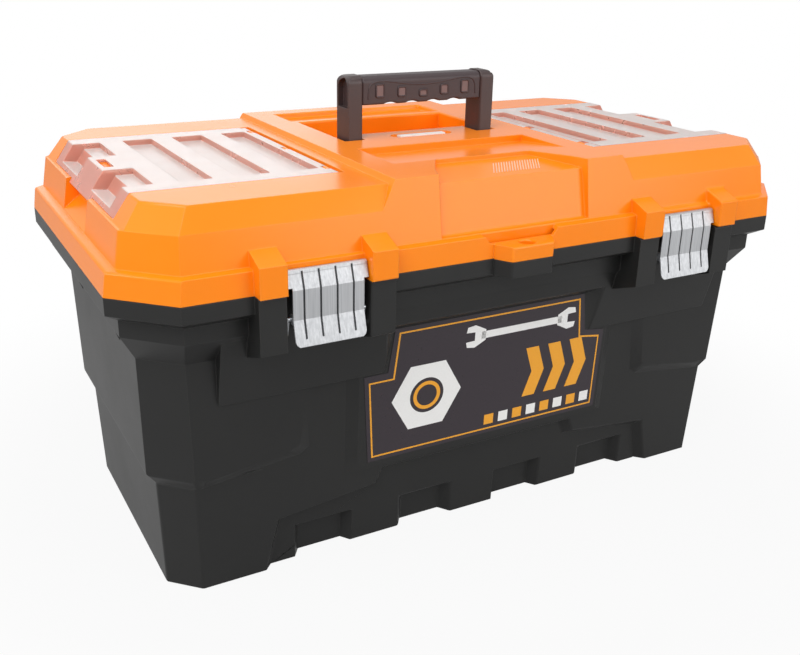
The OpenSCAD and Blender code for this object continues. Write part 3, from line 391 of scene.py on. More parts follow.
class FinishRack:
    """The materials, each built once and handed out by its finish."""

    def __init__(self) -> None:
        """Start with an empty rack."""
        self.made: dict[str, bpy.types.Material] = {}

    def get(self, finish: Finish) -> bpy.types.Material:
        """Give the material of a finish, built at its first use.

        Args:
            finish: The finish.

        Returns:
            Its one material.
        """
        if finish.name not in self.made:
            self.made[finish.name] = finish.build()
        return self.made[finish.name]


def to_object(name: str, form: bmesh.types.BMesh) -> bpy.types.Object:
    """Turn a form into an object of the scene.

    Args:
        name: The object's and its mesh's name.
        form: The form, which is freed here.

    Returns:
        The new object.
    """
    mesh = bpy.data.meshes.new(name)
    form.to_mesh(mesh)
    form.free()
    made = bpy.data.objects.new(name, mesh)
    bpy.context.scene.collection.objects.link(made)
    return made


@dataclass
class EdgeRounder:
    """Rounds the long sharp edges of a moulded or pressed form, as its tool does.

    Attributes:
        room: Width in radii that a face needs beside a rounded edge.
        overfill: A face whose triangles add up to more than this share of it crosses itself.
        stray_mm2: The least surplus of such a face.
        broad: Width in radii from which a face is shaded flat.
        crowd: Distance in radii at which a corner is too close to another side of its face.
        reach: Distance in radii round a fold within which no edge is rounded.
    """

    radius_mm: float
    segments: int = 2
    least_turn: float = math.radians(20)
    in_line: float = math.radians(25)
    merge_mm: float = 0.15
    flat: float = math.radians(0.3)
    smooth: float = math.radians(48)
    room: float = 2.3
    overfill: float = 1.02
    stray_mm2: float = 0.3
    tries: int = 8
    broad: float = 5.0
    crowd: float = 1.2
    reach: float = 2.0

    def copy(self, node: bpy.types.Object, name: str) -> bpy.types.Object:
        """Make a rounded copy of a CAD node's mesh.

        Args:
            node: The CAD node, which isn't changed.
            name: The new piece's name.

        Returns:
            The new object, not yet riding on a body.
        """
        plain = bmesh.new()
        plain.from_mesh(node.data)
        bmesh.ops.remove_doubles(plain, verts=plain.verts, dist=self.merge_mm * MM)
        bmesh.ops.dissolve_degenerate(plain, dist=self.merge_mm * MM, edges=plain.edges)
        bmesh.ops.dissolve_limit(plain, angle_limit=self.flat, verts=plain.verts, edges=plain.edges)
        plain.edges.ensure_lookup_table()
        chosen = [e.index for e in plain.edges if self.is_sharp(e) and self.has_room(e)]
        form = self.rounded(plain, chosen)
        for _ in range(self.tries):
            spots = self.folds(form)
            if not spots:
                break
            form.free()
            chosen = [k for k in chosen if not self.is_near(plain.edges[k], spots)]
            form = self.rounded(plain, chosen)
        plain.free()
        for face in form.faces:
            face.smooth = True
        normals = [self.corner_normal(loop) for face in form.faces for loop in face.loops]
        piece = to_object(name, form)
        piece.data.normals_split_custom_set(normals)
        LOG.info("%s: %d edges rounded at %.1f mm", name, len(chosen), self.radius_mm)
        return piece

    def rounded(self, plain: bmesh.types.BMesh, chosen: Sequence[int]) -> bmesh.types.BMesh:
        """Give a copy of a form with the chosen edges rounded.

        Args:
            plain: The form with sharp edges.
            chosen: The numbers of the edges.

        Returns:
            The rounded copy.
        """
        form = plain.copy()
        form.edges.ensure_lookup_table()
        bmesh.ops.bevel(
            form, geom=[form.edges[k] for k in chosen], offset=self.radius_mm * MM, offset_type="OFFSET",
            segments=self.segments, profile=0.5, affect="EDGES", clamp_overlap=False)
        bmesh.ops.recalc_face_normals(form, faces=form.faces)
        return form

    def folds(self, form: bmesh.types.BMesh) -> list[Vector]:
        """Find the places where a rounded form's faces run through each other.

        Args:
            form: The rounded form.

        Returns:
            A spot for each fold.
        """
        form.faces.ensure_lookup_table()
        tree = BVHTree.FromBMesh(form)
        spots = []
        for a, b in tree.overlap(tree):
            if a < b and not set(form.faces[a].verts) & set(form.faces[b].verts):
                small = min((form.faces[a], form.faces[b]), key=lambda f: f.calc_area())
                spots.append(small.calc_center_median())
        return spots + self.crossings(form)

    def crossings(self, form: bmesh.types.BMesh) -> list[Vector]:
        """Find the crowded corners of faces whose outlines cross themselves.

        Args:
            form: The rounded form.

        Returns:
            The corners' places.
        """
        filled: dict[bmesh.types.BMFace, float] = {}
        for loops in form.calc_loop_triangles():
            face = loops[0].face
            filled[face] = filled.get(face, 0.0) + area_tri(*(loop.vert.co for loop in loops))
        spots = []
        for face, area in filled.items():
            true = face.calc_area()
            if area > self.overfill * true and area - true > self.stray_mm2 * MM ** 2:
                crowded = [v.co.copy() for v in face.verts if self.is_crowded(v, face)]
                spots += crowded or [v.co.copy() for v in face.verts]
        return spots

    def is_crowded(self, corner: bmesh.types.BMVert, face: bmesh.types.BMFace) -> bool:
        """Tell whether a corner of a face comes close to another side of it.

        Args:
            corner: The corner.
            face: The face.

        Returns:
            True if it does.
        """
        for edge in face.edges:
            if corner not in edge.verts:
                on, share = intersect_point_line(corner.co, *(v.co for v in edge.verts))
                if 0 < share < 1 and (on - corner.co).length < self.crowd * self.radius_mm * MM:
                    return True
        return False

    def corner_normal(self, loop: bmesh.types.BMLoop) -> Vector:
        """Give a corner's shading normal: flat on broad faces, and rolling between them on a rounding.

        Args:
            loop: The corner of one face.

        Returns:
            The normal.
        """
        own = loop.face
        if self.is_broad(own):
            return own.normal.copy()
        turn = {f: f.normal.angle(own.normal, math.pi) for f in loop.vert.link_faces}
        near = [f for f in turn if f is own or turn[f] < self.smooth]
        broad = [f for f in near if self.is_broad(f)]
        if broad:
            return min(broad, key=turn.get).normal.copy()
        return sum((f.normal * f.calc_area() for f in near), Vector()).normalized()

    def is_broad(self, face: bmesh.types.BMFace) -> bool:
        """Tell whether a face is far wider than the facets of a rounding."""
        longest = max(e.calc_length() for e in face.edges)
        return face.calc_area() > self.broad * self.radius_mm * MM * longest

    def is_near(self, edge: bmesh.types.BMEdge, spots: Sequence[Vector]) -> bool:
        """Tell whether an edge passes close to one of the spots.

        Args:
            edge: An edge of the sharp form.
            spots: Places of folds.

        Returns:
            True if it does.
        """
        a, b = (v.co for v in edge.verts)
        reach = self.reach * self.radius_mm * MM
        for spot in spots:
            on, share = intersect_point_line(spot, a, b)
            close = a if share < 0 else b if share > 1 else on
            if (spot - close).length < reach:
                return True
        return False

    def is_sharp(self, edge: bmesh.types.BMEdge) -> bool:
        """Tell whether an edge joins two faces at a clear angle."""
        return len(edge.link_faces) == 2 and edge.calc_face_angle(0.0) > self.least_turn

    def has_room(self, edge: bmesh.types.BMEdge) -> bool:
        """Tell whether an edge's faces and the edges next to it are wide enough for the radius.

        Args:
            edge: An edge of the sharp form.

        Returns:
            True if they are.
        """
        need = self.room * self.radius_mm * MM
        for loop in edge.link_loops:
            if loop.face.calc_area() < need * edge.calc_length():
                return False
            for near in (loop.link_loop_prev.edge, loop.link_loop_next.edge):
                shared = edge.verts[0] if edge.verts[0] in near.verts else edge.verts[1]
                way = edge.other_vert(shared).co - shared.co
                on = shared.co - near.other_vert(shared).co
                straight = way.length > 0 and on.length > 0 and way.angle(on) < self.in_line
                if not straight and near.calc_length() < need:
                    return False
        return True


def between(values: Sequence[float], share: float) -> float:
    """Give a smooth line's value at a share of the way from the second to the third of four values.

    Args:
        values: The four values.
        share: The share, from 0 to 1.

    Returns:
        The value.
    """
    p, q, r, s = values
    bend, twist = 2 * p - 5 * q + 4 * r - s, 3 * q - p - 3 * r + s
    return q + ((r - p) * share + bend * share ** 2 + twist * share ** 3) / 2


def eased(points: Sequence[Point], steps: int = 6) -> list[Point]:
    """Draw a smooth line through points.

    Args:
        points: The points that it passes.
        steps: Short pieces between each two of them.

    Returns:
        The line's points.
    """
    path = []
    for k in range(len(points) - 1):
        a, b, c, d = (points[min(max(k + i, 0), len(points) - 1)] for i in (-1, 0, 1, 2))
        for t in (i / steps for i in range(steps)):
            path.append(tuple(between(values, t) for values in zip(a, b, c, d)))
    return [*path, points[-1]]


def bead(
    form: bmesh.types.BMesh, path: Sequence[Vector], radius_mm: float, closed: bool, sides: int = 8
) -> None:
    """Run a round bead along a path in an upright plane that faces front or back.

    Args:
        form: The form that the bead is added to.
        path: Its middle line.
        radius_mm: Its radius.
        closed: Whether its end meets its start.
        sides: Facets round it.
    """
    out = Vector((0, 1, 0))
    turns = [2 * math.pi * i / sides for i in range(sides)]
    rings = []
    for k, point in enumerate(path):
        before = path[k - 1] if closed or k > 0 else point
        after = path[(k + 1) % len(path)] if closed or k < len(path) - 1 else point
        side = (after - before).normalized().cross(out)
        round_it = [math.cos(a) * side + math.sin(a) * out for a in turns]
        rings.append([form.verts.new(point + radius_mm * MM * way) for way in round_it])
    pairs = list(zip(rings, [*rings[1:], rings[0]]))
    for a, b in pairs if closed else pairs[:-1]:
        for i in range(sides):
            j = (i + 1) % sides
            form.faces.new((a[i], a[j], b[j], b[i]))
    if not closed:
        form.faces.new(rings[0])
        form.faces.new(rings[-1])


class Builder:
    """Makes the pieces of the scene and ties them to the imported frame."""

    def __init__(self, frame: dict[str, Any]) -> None:
        """Keep the loaded frame and start a rack of finishes."""
        self.frame = frame
        self.rack = FinishRack()

    def dress(self, node: str, finish: Finish) -> None:
        """Give a carried-over CAD node its finish.

        Args:
            node: The node's name.
            finish: Its finish.
        """
        mesh = self.frame["nodes"][node].data
        mesh.materials.clear()
        mesh.materials.append(self.rack.get(finish))
        LOG.info("%s dressed in %s", node, finish.name)

    def round(
        self, node: str, body: str, finish: Finish, rounder: EdgeRounder
    ) -> bpy.types.Object:
        """Stand a rounded copy in for a CAD node.

        Args:
            node: The CAD node that the copy replaces.
            body: The body that it rides on.
            finish: The finish of the copy.
            rounder: What rounds its long edges.

        Returns:
            The new piece.
        """
        piece = rounder.copy(self.frame["nodes"][node], f"{node}_moulded")
        piece.data.materials.append(self.rack.get(finish))
        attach(piece, body)
        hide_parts(node)
        return piece

    def add(
        self, name: str, form: bmesh.types.BMesh, body: str, slot: str, finish: Finish
    ) -> bpy.types.Object:
        """Turn a finished form into a piece that rides on a body.

        Args:
            name: The piece's name.
            form: Its mesh, in the shared frame; freed here.
            body: The body that it rides on.
            slot: The record's material slot; not used.
            finish: Its finish.

        Returns:
            The new piece.
        """
        piece = to_object(name, form)
        piece.data.materials.append(self.rack.get(finish))
        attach(piece, body)
        LOG.info("%s added on %s", name, body)
        return piece


@dataclass
class Tub:
    """The charcoal tub with its hinge pins."""

    edge_mm: float = 1.6

    def build(self, maker: Builder) -> None:
        """Round the tub and dress the pins.

        Args:
            maker: What makes the pieces.
        """
        maker.round("base_tub", "base", TUB_PLASTIC, EdgeRounder(self.edge_mm))
        for side in Side:
            maker.dress(f"hinge_pin_{side.word}", PIN_STEEL)


@dataclass
class FrontPrint:
    """The film on the front panel, with a plain design: nut, spanner, chevrons and a row of tiles."""

    ink_mm: float = 0.12
    inset_mm: float = 3.5
    rule_mm: float = 1.3
    head_mm: float = 88.0
    shoulder_mm: float = 72.0
    foot_in: float = 5.0
    side_in: float = 1.0
    neck: Point = (4.0, 3.0)
    round_steps: int = 48
    nut_sides: int = 6
    nut_at: Point = (-58.0, 126.0)
    nut_r: float = 31.0
    nut_hole_r: float = 15.0
    nut_ring_r: Point = (12.0, 9.0)
    chevron_at: Point = (34.0, 104.0)
    chevron_size: Point = (20.0, 44.0)
    chevron_step: float = 22.0
    chevron_count: int = 3
    chevron_arm: float = 0.62
    spanner_at: Point = (28.0, 168.0)
    spanner_l: float = 96.0
    shaft_in: float = 9.0
    shaft_half: float = 3.0
    jaw_in: float = 11.0
    jaw_half: tuple[Point, ...] = ((-2.0, -4.5), (8.0, -9.5), (15.0, -8.5), (16.0, -4.0), (8.0, -3.6))
    tile_at: Point = (-2.0, 86.0)
    tile_mm: float = 9.0
    tile_step: float = 14.0
    tile_count: int = 8

    def build(self, maker: Builder) -> None:
        """Dress the film and lay the two inks on it.

        Args:
            maker: What makes the pieces.
        """
        film = maker.frame["nodes"]["front_label"]
        maker.dress("front_label", FILM_GROUND)
        self.find_face(film)
        orange = bmesh.new()
        for k in range(self.chevron_count):
            self.stamp(orange, self.chevron(k))
        for k in range(0, self.tile_count, 2):
            self.stamp(orange, self.tile(k))
        self.ring(orange, self.outline(self.inset_mm), self.outline(self.inset_mm + self.rule_mm))
        self.ring(orange, *(self.circle(self.nut_at, r, self.round_steps) for r in self.nut_ring_r))
        maker.add("front_print_orange", orange, "base", "label_film", FILM_ORANGE)
        white = bmesh.new()
        hexagon = self.circle(self.nut_at, self.nut_r, self.nut_sides)
        outer = self.along(hexagon, self.round_steps // self.nut_sides)
        self.ring(white, outer, self.circle(self.nut_at, self.nut_hole_r, self.round_steps))
        for part in self.spanner():
            self.stamp(white, part)
        for k in range(1, self.tile_count, 2):
            self.stamp(white, self.tile(k))
        maker.add("front_print_white", white, "base", "label_film", FILM_WHITE)

    def find_face(self, film: bpy.types.Object) -> None:
        """Find the film's front plane and its outline's corners from its mesh.

        Args:
            film: The CAD node of the film.
        """
        front = [p for p in film.data.polygons if p.normal.y < -0.9]
        self.normal = front[0].normal.copy()
        self.spot = film.data.vertices[front[0].vertices[0]].co.copy()
        low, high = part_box("front_label")
        self.low, self.high = low / MM, high / MM

    def outline(self, inset: float) -> list[Point]:
        """Give the rule's outline: a wide foot with a narrower head, set in from the film's edge.

        Args:
            inset: How far it is set in, in millimetres.

        Returns:
            The corners.
        """
        wide, tall = self.high.x - inset, self.high.z - inset
        low, shoulder = self.low.z + inset, self.low.z + self.shoulder_mm - inset
        head, side = self.head_mm - inset, wide - self.side_in
        out, up = self.neck
        return [(-wide + self.foot_in, low), (side, low), (side, shoulder), (head + out, shoulder + up),
                (head, tall), (-head, tall), (-head - out, shoulder), (-side, shoulder)]

    def circle(self, centre: Point, radius: float, count: int) -> list[Point]:
        """Give count points round a centre."""
        turn = [2 * math.pi * k / count for k in range(count)]
        return [(centre[0] + radius * math.cos(a), centre[1] + radius * math.sin(a)) for a in turn]

    def along(self, loop: Sequence[Point], count: int) -> list[Point]:
        """Cut each side of a loop into count equal steps.

        Args:
            loop: The loop's corners.
            count: Steps to a side.

        Returns:
            The points.
        """
        points = []
        for a, b in zip(loop, [*loop[1:], loop[0]]):
            points += [tuple(p + (q - p) * k / count for p, q in zip(a, b)) for k in range(count)]
        return points

    def chevron(self, k: int) -> list[Point]:
        """Give one chevron that points to the right.

        Args:
            k: Its place in the row.

        Returns:
            Its corners.
        """
        (x, z), (w, h) = self.chevron_at, self.chevron_size
        x += k * self.chevron_step
        arm, mid, top = w * self.chevron_arm, z + h / 2, z + h
        return [(x, z), (x + arm, z), (x + w, mid), (x + arm, top), (x, top), (x + w - arm, mid)]

    def tile(self, k: int) -> list[Point]:
        """Give one small square tile of the row."""
        x, z, s = self.tile_at[0] + k * self.tile_step, self.tile_at[1], self.tile_mm
        return [(x, z), (x + s, z), (x + s, z + s), (x, z + s)]

    def spanner(self) -> list[list[Point]]:
        """Give the spanner's shaft and its two open jaws.

        Returns:
            The corners of each.
        """
        (x, z), half = self.spanner_at, self.spanner_l / 2
        end, thick = half - self.shaft_in, self.shaft_half
        parts = [[(x - end, z - thick), (x + end, z - thick), (x + end, z + thick), (x - end, z + thick)]]
        jaw = [*self.jaw_half, *[(u, -v) for u, v in reversed(self.jaw_half)]]
        for side in Side:
            points = [(x + side.value * (half - self.jaw_in + u), z + v) for u, v in jaw]
            parts.append(points if side is Side.RIGHT else points[::-1])
        return parts

    def place(self, point: Point, lift: float) -> Vector:
        """Lay a point of the design on the film's face or over it.

        Args:
            point: The point, in millimetres.
            lift: Its height over the film, in millimetres.

        Returns:
            The place.
        """
        x, z = point[0] * MM, point[1] * MM
        away = self.normal
        y = self.spot.y - (away.x * (x - self.spot.x) + away.z * (z - self.spot.z)) / away.y
        return Vector((x, y, z)) + away * (lift * MM)

    def stamp(self, form: bmesh.types.BMesh, loop: Sequence[Point]) -> None:
        """Add one closed patch of ink.

        Args:
            form: The form that it is added to.
            loop: Its outline.
        """
        top = [form.verts.new(self.place(p, self.ink_mm)) for p in loop]
        under = [form.verts.new(self.place(p, 0.0)) for p in loop]
        form.faces.new(top)
        form.faces.new(under[::-1])
        for k in range(len(loop)):
            n = (k + 1) % len(loop)
            form.faces.new((top[n], top[k], under[k], under[n]))

    def ring(self, form: bmesh.types.BMesh, outer: Sequence[Point], inner: Sequence[Point]) -> None:
        """Add a closed band of ink between two loops of the same count.

        Args:
            form: The form that it is added to.
            outer: Its outer loop.
            inner: Its inner loop.
        """
        loops = [[form.verts.new(self.place(p, lift)) for p in loop]
                 for lift in (self.ink_mm, 0.0) for loop in (outer, inner)]
        top_out, top_in, low_out, low_in = loops
        for k in range(len(outer)):
            n = (k + 1) % len(outer)
            form.faces.new((top_out[k], top_out[n], top_in[n], top_in[k]))
            form.faces.new((low_in[k], low_in[n], low_out[n], low_out[k]))
            form.faces.new((top_out[n], top_out[k], low_out[k], low_out[n]))
            form.faces.new((top_in[k], top_in[n], low_in[n], low_in[k]))


@dataclass
class Lid:
    """The orange lid with its pins, its finger ribs and the dividers of its organiser pockets."""

    edge_mm: float = 1.6
    dividers: int = 3
    rib_x: Point = (-10.0, 33.0)
    rib_y: Point = (-133.0, -114.0)
    rib_shift: float = 12.0
    rib_step: float = 2.4
    rib_w: float = 1.2
    rib_top: float = 0.6
    rib_h: float = 0.45
    rib_sunk: float = 0.1
    scoop_front: Point = (-141.95, 295.5)
    scoop_back: Point = (-103.0, 299.5)

    def build(self, maker: Builder) -> None:
        """Round the lid and dress what is fixed in it.

        Args:
            maker: What makes the pieces.
        """
        maker.round("lid_shell", "lid", LID_PLASTIC, EdgeRounder(self.edge_mm))
        # The ribs' pale tone is a painted sheen
        maker.add("lid_scoop_ribs", self.ribs(), "lid", "lid_plastic", RIB_SHEEN_PLASTIC)
        # Near-white slot plate: painted glint
        maker.dress("slot_plate", SLOT_GLINT_PLASTIC)
        for side in Side:
            maker.dress(f"handle_pin_{side.word}", PIN_STEEL)
            maker.dress(f"{side.word}_cover_pin", PIN_STEEL)
            for k in range(1, self.dividers + 1):
                maker.dress(f"{side.word}_divider_{k}", DIVIDER_PLASTIC)

    def ribs(self) -> bmesh.types.BMesh:
        """Make the slanting finger ribs on the top of the front scoop.

        Returns:
            The ribs, each a closed bar.
        """
        form = bmesh.new()
        for k in range(int((self.rib_x[1] - self.rib_x[0]) / self.rib_step) + 1):
            x = self.rib_x[0] + k * self.rib_step
            ends = []
            for mid, y in ((x, self.rib_y[0]), (x + self.rib_shift, self.rib_y[1])):
                foot, top = self.scoop_z(y) - self.rib_sunk, self.scoop_z(y) + self.rib_h
                wide, narrow = self.rib_w / 2, self.rib_top / 2
                section = ((-wide, foot), (wide, foot), (narrow, top), (-narrow, top))
                ends.append([form.verts.new(Vector((mid + u, y, z)) * MM) for u, z in section])
            a, b = ends
            form.faces.new(a)
            form.faces.new(b[::-1])
            for i in range(len(a)):
                j = (i + 1) % len(a)
                form.faces.new((a[j], a[i], b[i], b[j]))
        bmesh.ops.recalc_face_normals(form, faces=form.faces)
        return form

    def scoop_z(self, y: float) -> float:
        """Give the height of the scoop's sloping top at a depth."""
        (y0, z0), (y1, z1) = self.scoop_front, self.scoop_back
        return z0 + (z1 - z0) * (y - y0) / (y1 - y0)


@dataclass
class OrganiserCovers:
    """The two frosted covers over the organiser pockets."""

    edge_mm: float = 0.6
    steep: float = 0.6

    def build(self, maker: Builder) -> None:
        """Round each cover, with a pinker copy of its finish on its steep walls as painted glow.

        Args:
            maker: What makes the pieces.
        """
        for side in Side:
            cover = maker.round(
                f"{side.word}_cover", f"{side.word}_flap", COVER_FLAT,
                EdgeRounder(self.edge_mm))
            cover.data.materials.append(maker.rack.get(COVER_WALL_GLOW))
            # Steep faces take the pinker copy: painted glow
            for face in cover.data.polygons:
                face.material_index = int(abs(face.normal.z) < self.steep)


@dataclass
class CarryHandle:
    """The folding handle with its grip sleeve and pads."""

    edge_mm: float = 1.6
    sleeve_edge_mm: float = 1.2
    pad_edge_mm: float = 0.4
    pad_x: tuple[float, ...] = (-40.0, -20.0, 0.0, 20.0, 40.0)
    pad_reach: float = 6.0
    lip_r: float = 0.75
    lip_out: float = 0.2
    lip_corner: float = 1.4
    corner_steps: int = 4
    seam: tuple[Point, ...] = (
        (50.5, 334.0), (50.0, 341.0), (48.0, 345.4), (43.5, 347.3), (36.0, 347.6), (26.0, 346.5),
        (13.0, 344.6), (0.0, 343.8))
    seam_r: float = 0.55

    def build(self, maker: Builder) -> None:
        """Round the frame, the sleeve and the pads.

        Args:
            maker: What makes the pieces.
        """
        maker.round("handle_frame", "handle", HANDLE_PLASTIC, EdgeRounder(self.edge_mm))
        soft = EdgeRounder(self.sleeve_edge_mm)
        maker.round("handle_sleeve", "handle", SLEEVE_RUBBER, soft)
        maker.round("handle_grip_pads", "handle", PAD_RUBBER, EdgeRounder(self.pad_edge_mm))
        lines = self.beads(maker.frame["nodes"]["handle_grip_pads"])
        maker.add("handle_grip_beads", lines, "handle", "grip_rubber", SLEEVE_RUBBER)

    def beads(self, pads: bpy.types.Object) -> bmesh.types.BMesh:
        """Make the moulded lines of the sleeve, on its front and its back.

        Args:
            pads: The CAD node of the grip pads.

        Returns:
            A wavy seam over the pads and a dark rubber rim round each of them, painted shade in place of the
            shaded groove round a pad.
        """
        low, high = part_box("handle_sleeve")
        reach = self.pad_reach * MM
        form = bmesh.new()
        for face_y, facing in ((low.y, -1), (high.y, 1)):
            half = eased(self.seam)
            arch = [*half, *[(-x, z) for x, z in half[-2::-1]]]
            bead(form, [Vector((x * MM, face_y, z * MM)) for x, z in arch], self.seam_r, False)
            for x in self.pad_x:
                near = [v.co for v in pads.data.vertices
                        if abs(v.co.x - x * MM) < reach and (v.co.y - face_y) * facing > -reach]
                across, upward = [c.x for c in near], [c.z for c in near]
                outline = self.rounded_box((min(across), min(upward)), (max(across), max(upward)))
                # Dark rubber rim round each pad: painted shade in place of the shaded groove
                shade_rim = [Vector((u, face_y + facing * self.lip_out * MM, w)) for u, w in outline]
                bead(form, shade_rim, self.lip_r, True)
        bmesh.ops.recalc_face_normals(form, faces=form.faces)
        for face in form.faces:
            face.smooth = True
        return form

    def rounded_box(self, low: Point, high: Point) -> list[Point]:
        """Give the outline of an upright box in metres, with rounded corners.

        Args:
            low: Its lower left corner.
            high: Its upper right corner.

        Returns:
            The points.
        """
        r = self.lip_corner * MM
        points = []
        corners = (high[0], high[1]), (low[0], high[1]), (low[0], low[1]), (high[0], low[1])
        for k, (x, z) in enumerate(corners):
            mid = (x - math.copysign(r, x - low[0] - r), z - math.copysign(r, z - low[1] - r))
            turns = [math.radians(90 * (k + i / self.corner_steps)) for i in range(self.corner_steps + 1)]
            points += [(mid[0] + r * math.cos(a), mid[1] + r * math.sin(a)) for a in turns]
        return points


@dataclass
class DrawLatches:
    """The two stamped latches, each a lever and a wire bail."""

    edge_mm: float = 0.35
    crease: float = math.radians(9)
    latch_x: float = 157.5
    groove_x: tuple[float, ...] = (-17.77, -5.92, 5.92, 17.77)
    groove_floor: float = 1.4 / 3

    def build(self, maker: Builder) -> None:
        """Round the levers' sheet edges, keep their folds crisp and dress the wire.

        Args:
            maker: What makes the pieces.
        """
        for side in Side:
            lever = maker.round(
                f"{side.word}_latch_lever", f"{side.word}_lever", LATCH_STEEL,
                EdgeRounder(self.edge_mm, smooth=self.crease))
            lever.data.materials.append(maker.rack.get(GROOVE_SHADE_STEEL))
            # Faces in the grooves take the darker copy: painted shade
            for face in lever.data.polygons:
                off = face.center.x / MM - side.value * self.latch_x
                face.material_index = int(min(abs(off - x) for x in self.groove_x) < self.groove_floor)
            maker.dress(f"{side.word}_latch_bail", WIRE_STEEL)


@dataclass
class ToteTray:
    """The lift-out tray with its carry bar and loose dividers."""

    edge_mm: float = 0.8

    def build(self, maker: Builder) -> None:
        """Round the tray and its bar, and dress the dividers.

        Args:
            maker: What makes the pieces.
        """
        maker.round("tote_tray", "tray", TRAY_PLASTIC, EdgeRounder(self.edge_mm))
        maker.round("tray_carry_bar", "tray", HANDLE_PLASTIC, EdgeRounder(self.edge_mm))
        for side in Side:
            maker.dress(f"tray_divider_{side.word}", DIVIDER_PLASTIC)


def bearing(azimuth: float, elevation: float) -> Vector:
    """Give the way from the object to a viewer at a bearing and a height angle, in degrees."""
    a, e = math.radians(azimuth), math.radians(elevation)
    return Vector((math.sin(a) * math.cos(e), -math.cos(a) * math.cos(e), math.sin(e)))


@dataclass
class Lamp:
    """One soft box: its bearing, height angle, distance, size and power."""

    name: str
    azimuth: float
    elevation: float
    distance: float
    size: float
    power: float

    def build(self, aim: Vector) -> None:
        """Hang the soft box and turn it to the aim point.

        Args:
            aim: The aim point.
        """
        light = bpy.data.lights.new(self.name, "AREA")
        light.shape, light.size, light.energy = "DISK", self.size, self.power
        lamp = bpy.data.objects.new(self.name, light)
        back = bearing(self.azimuth, self.elevation)
        lamp.location = aim + back * self.distance
        lamp.rotation_mode = "QUATERNION"
        lamp.rotation_quaternion = (-back).to_track_quat("-Z", "Y")
        lamp.visible_camera = False
        bpy.context.scene.collection.objects.link(lamp)


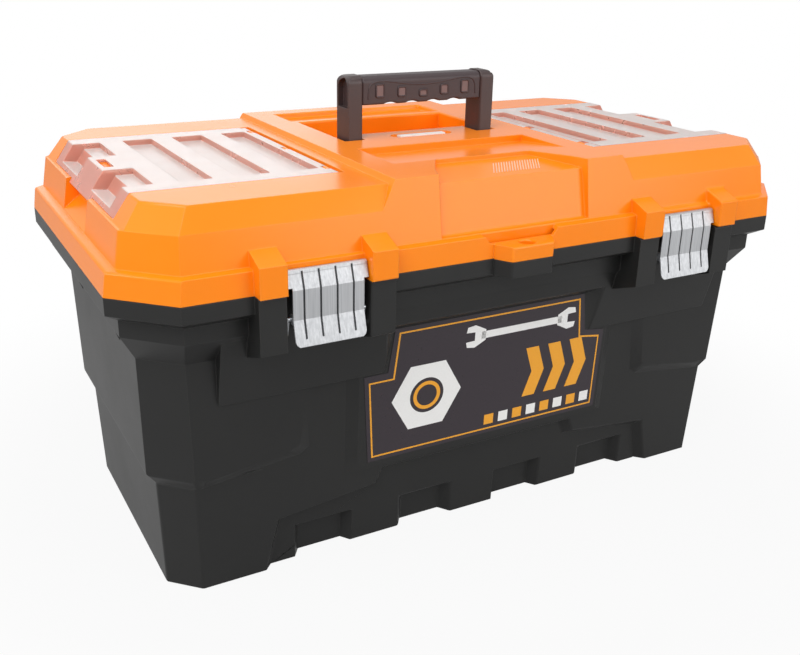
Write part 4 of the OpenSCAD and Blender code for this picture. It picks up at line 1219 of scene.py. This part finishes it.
@dataclass
class Studio:
    """White sweep, soft boxes and the camera at the photograph's angle."""

    azimuth: float = -29.35
    elevation: float = 21.79
    roll: float = 1.19
    distance: float = 0.8664
    target: tuple[float, float, float] = (-0.0109, 0.0, 0.1277)
    focal_px: float = 958.7
    image_px: float = 800.0
    sensor_mm: float = 36.0
    clip_m: Point = (0.01, 200.0)
    floor_m: float = 60.0
    floor_cells: int = 8
    paper: str = "#b0b0b0"
    floor_drop_mm: float = 0.3
    shade_m: tuple[float, float] = (0.30, 0.62)
    shade_share: float = 0.08
    floor_gloss: float = 0.25
    room_gloss: float = 0.6
    ambient: float = 0.27
    lamps: list[Lamp] = field(default_factory=lambda: [
        Lamp("key_box", -46, 44, 2.2, 1.6, 27),
        Lamp("fill_box", 30, 16, 2.4, 1.6, 19),
        Lamp("top_box", 10, 82, 2.0, 1.8, 13),
        Lamp("back_box", 172, 16, 2.4, 1.4, 4.5),
        Lamp("side_box", -100, 25, 2.2, 1.2, 13)])

    def build(self) -> None:
        """Set the view transform and build camera, floor, world and lamps."""
        scene = bpy.context.scene
        scene.view_settings.view_transform = "Standard"
        self.camera()
        self.floor()
        self.world()
        for lamp in self.lamps:
            lamp.build(Vector(self.target))

    def camera(self) -> None:
        """Place the camera from its bearing, height angle, roll and distance."""
        back, r = bearing(self.azimuth, self.elevation), math.radians(self.roll)
        right = (-back).cross(Vector((0, 0, 1))).normalized()
        up = right.cross(-back)
        across = math.cos(r) * right + math.sin(r) * up
        upward = math.cos(r) * up - math.sin(r) * right
        data = bpy.data.cameras.new("photo_camera")
        data.sensor_width = self.sensor_mm
        data.lens = self.focal_px * self.sensor_mm / self.image_px
        data.clip_start, data.clip_end = self.clip_m
        camera = bpy.data.objects.new("photo_camera", data)
        turn = Matrix((across, upward, back)).transposed().to_4x4()
        camera.matrix_world = Matrix.Translation(Vector(self.target) + back * self.distance) @ turn
        bpy.context.scene.collection.objects.link(camera)
        bpy.context.scene.camera = camera

    def seen(self, tree: bpy.types.NodeTree, gloss: float) -> Socket:
        """Give a socket that is 1 for rays that look at the backdrop, straight or through plastic.

        Args:
            tree: The tree of the floor's material or of the world.
            gloss: What the socket is for rays that a surface mirrors.

        Returns:
            The socket.
        """
        path = add_node(tree, "ShaderNodeLightPath", {}, {})
        share = add_node(
            tree, "ShaderNodeMath", {"operation": "MULTIPLY"}, {0: path.outputs["Is Glossy Ray"], 1: gloss})
        mirrored = add_node(
            tree, "ShaderNodeMath", {"operation": "MAXIMUM"},
            {0: path.outputs["Is Camera Ray"], 1: share.outputs["Value"]})
        looks = add_node(
            tree, "ShaderNodeMath", {"operation": "MAXIMUM"},
            {0: mirrored.outputs["Value"], 1: path.outputs["Is Transmission Ray"]})
        return looks.outputs["Value"]

    def floor(self) -> None:
        """Lay the white sweep, which shades only near the object."""
        form = bmesh.new()
        cells = self.floor_cells
        bmesh.ops.create_grid(form, x_segments=cells, y_segments=cells, size=self.floor_m / 2)
        floor = to_object("studio_floor", form)
        floor.location.z = -self.floor_drop_mm * MM
        material = bpy.data.materials.new("white_paper_sweep")
        material.use_nodes = True
        tree = material.node_tree
        tree.nodes.clear()
        place = add_node(tree, "ShaderNodeTexCoord", {}, {}).outputs["Object"]
        far = add_node(tree, "ShaderNodeVectorMath", {"operation": "LENGTH"}, {0: place})
        bright = add_node(
            tree, "ShaderNodeMapRange", {"interpolation_type": "SMOOTHSTEP"},
            {"Value": far.outputs["Value"], "From Min": self.shade_m[0], "From Max": self.shade_m[1],
             "To Min": 1 - self.shade_share, "To Max": 1.0})
        share = add_node(
            tree, "ShaderNodeMath", {"operation": "MULTIPLY"},
            {0: self.seen(tree, self.floor_gloss), 1: bright.outputs["Result"]})
        paper = add_node(tree, "ShaderNodeBsdfDiffuse", {}, {"Color": linear(self.paper)})
        glow = add_node(tree, "ShaderNodeEmission", {}, {"Color": linear("#ffffff"), "Strength": 1.0})
        mixed = add_node(
            tree, "ShaderNodeMixShader", {},
            {"Fac": share.outputs["Value"], 1: paper.outputs["BSDF"], 2: glow.outputs["Emission"]})
        add_node(tree, "ShaderNodeOutputMaterial", {}, {"Surface": mixed.outputs["Shader"]})
        floor.data.materials.append(material)

    def world(self) -> None:
        """Light the room evenly, and white where it is looked at."""
        world = bpy.data.worlds.new("white_room")
        bpy.context.scene.world = world
        world.use_nodes = True
        tree = world.node_tree
        tree.nodes.clear()
        level = add_node(
            tree, "ShaderNodeMapRange", {},
            {"Value": self.seen(tree, self.room_gloss), "To Min": self.ambient, "To Max": 1.0})
        glow = add_node(
            tree, "ShaderNodeBackground", {},
            {"Color": linear("#ffffff"), "Strength": level.outputs["Result"]})
        add_node(tree, "ShaderNodeOutputWorld", {}, {"Surface": glow.outputs["Background"]})


def write_sizes() -> None:
    """Log a line; the CAD box and the visual model's box are not written.
    """
    LOG.info("sizes written")


def main() -> None:
    """Load the frame, build each sub-assembly and light it."""
    logging.basicConfig(level=logging.INFO, format="%(name)s: %(message)s")
    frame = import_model()
    Studio().build()
    maker = Builder(frame)
    box = Tub(), FrontPrint(), Lid(), OrganiserCovers(), CarryHandle(), DrawLatches(), ToteTray()
    for assembly in box:
        assembly.build(maker)
        LOG.info("%s built", type(assembly).__name__)
    write_sizes()


if __name__ == "__main__":
    main()
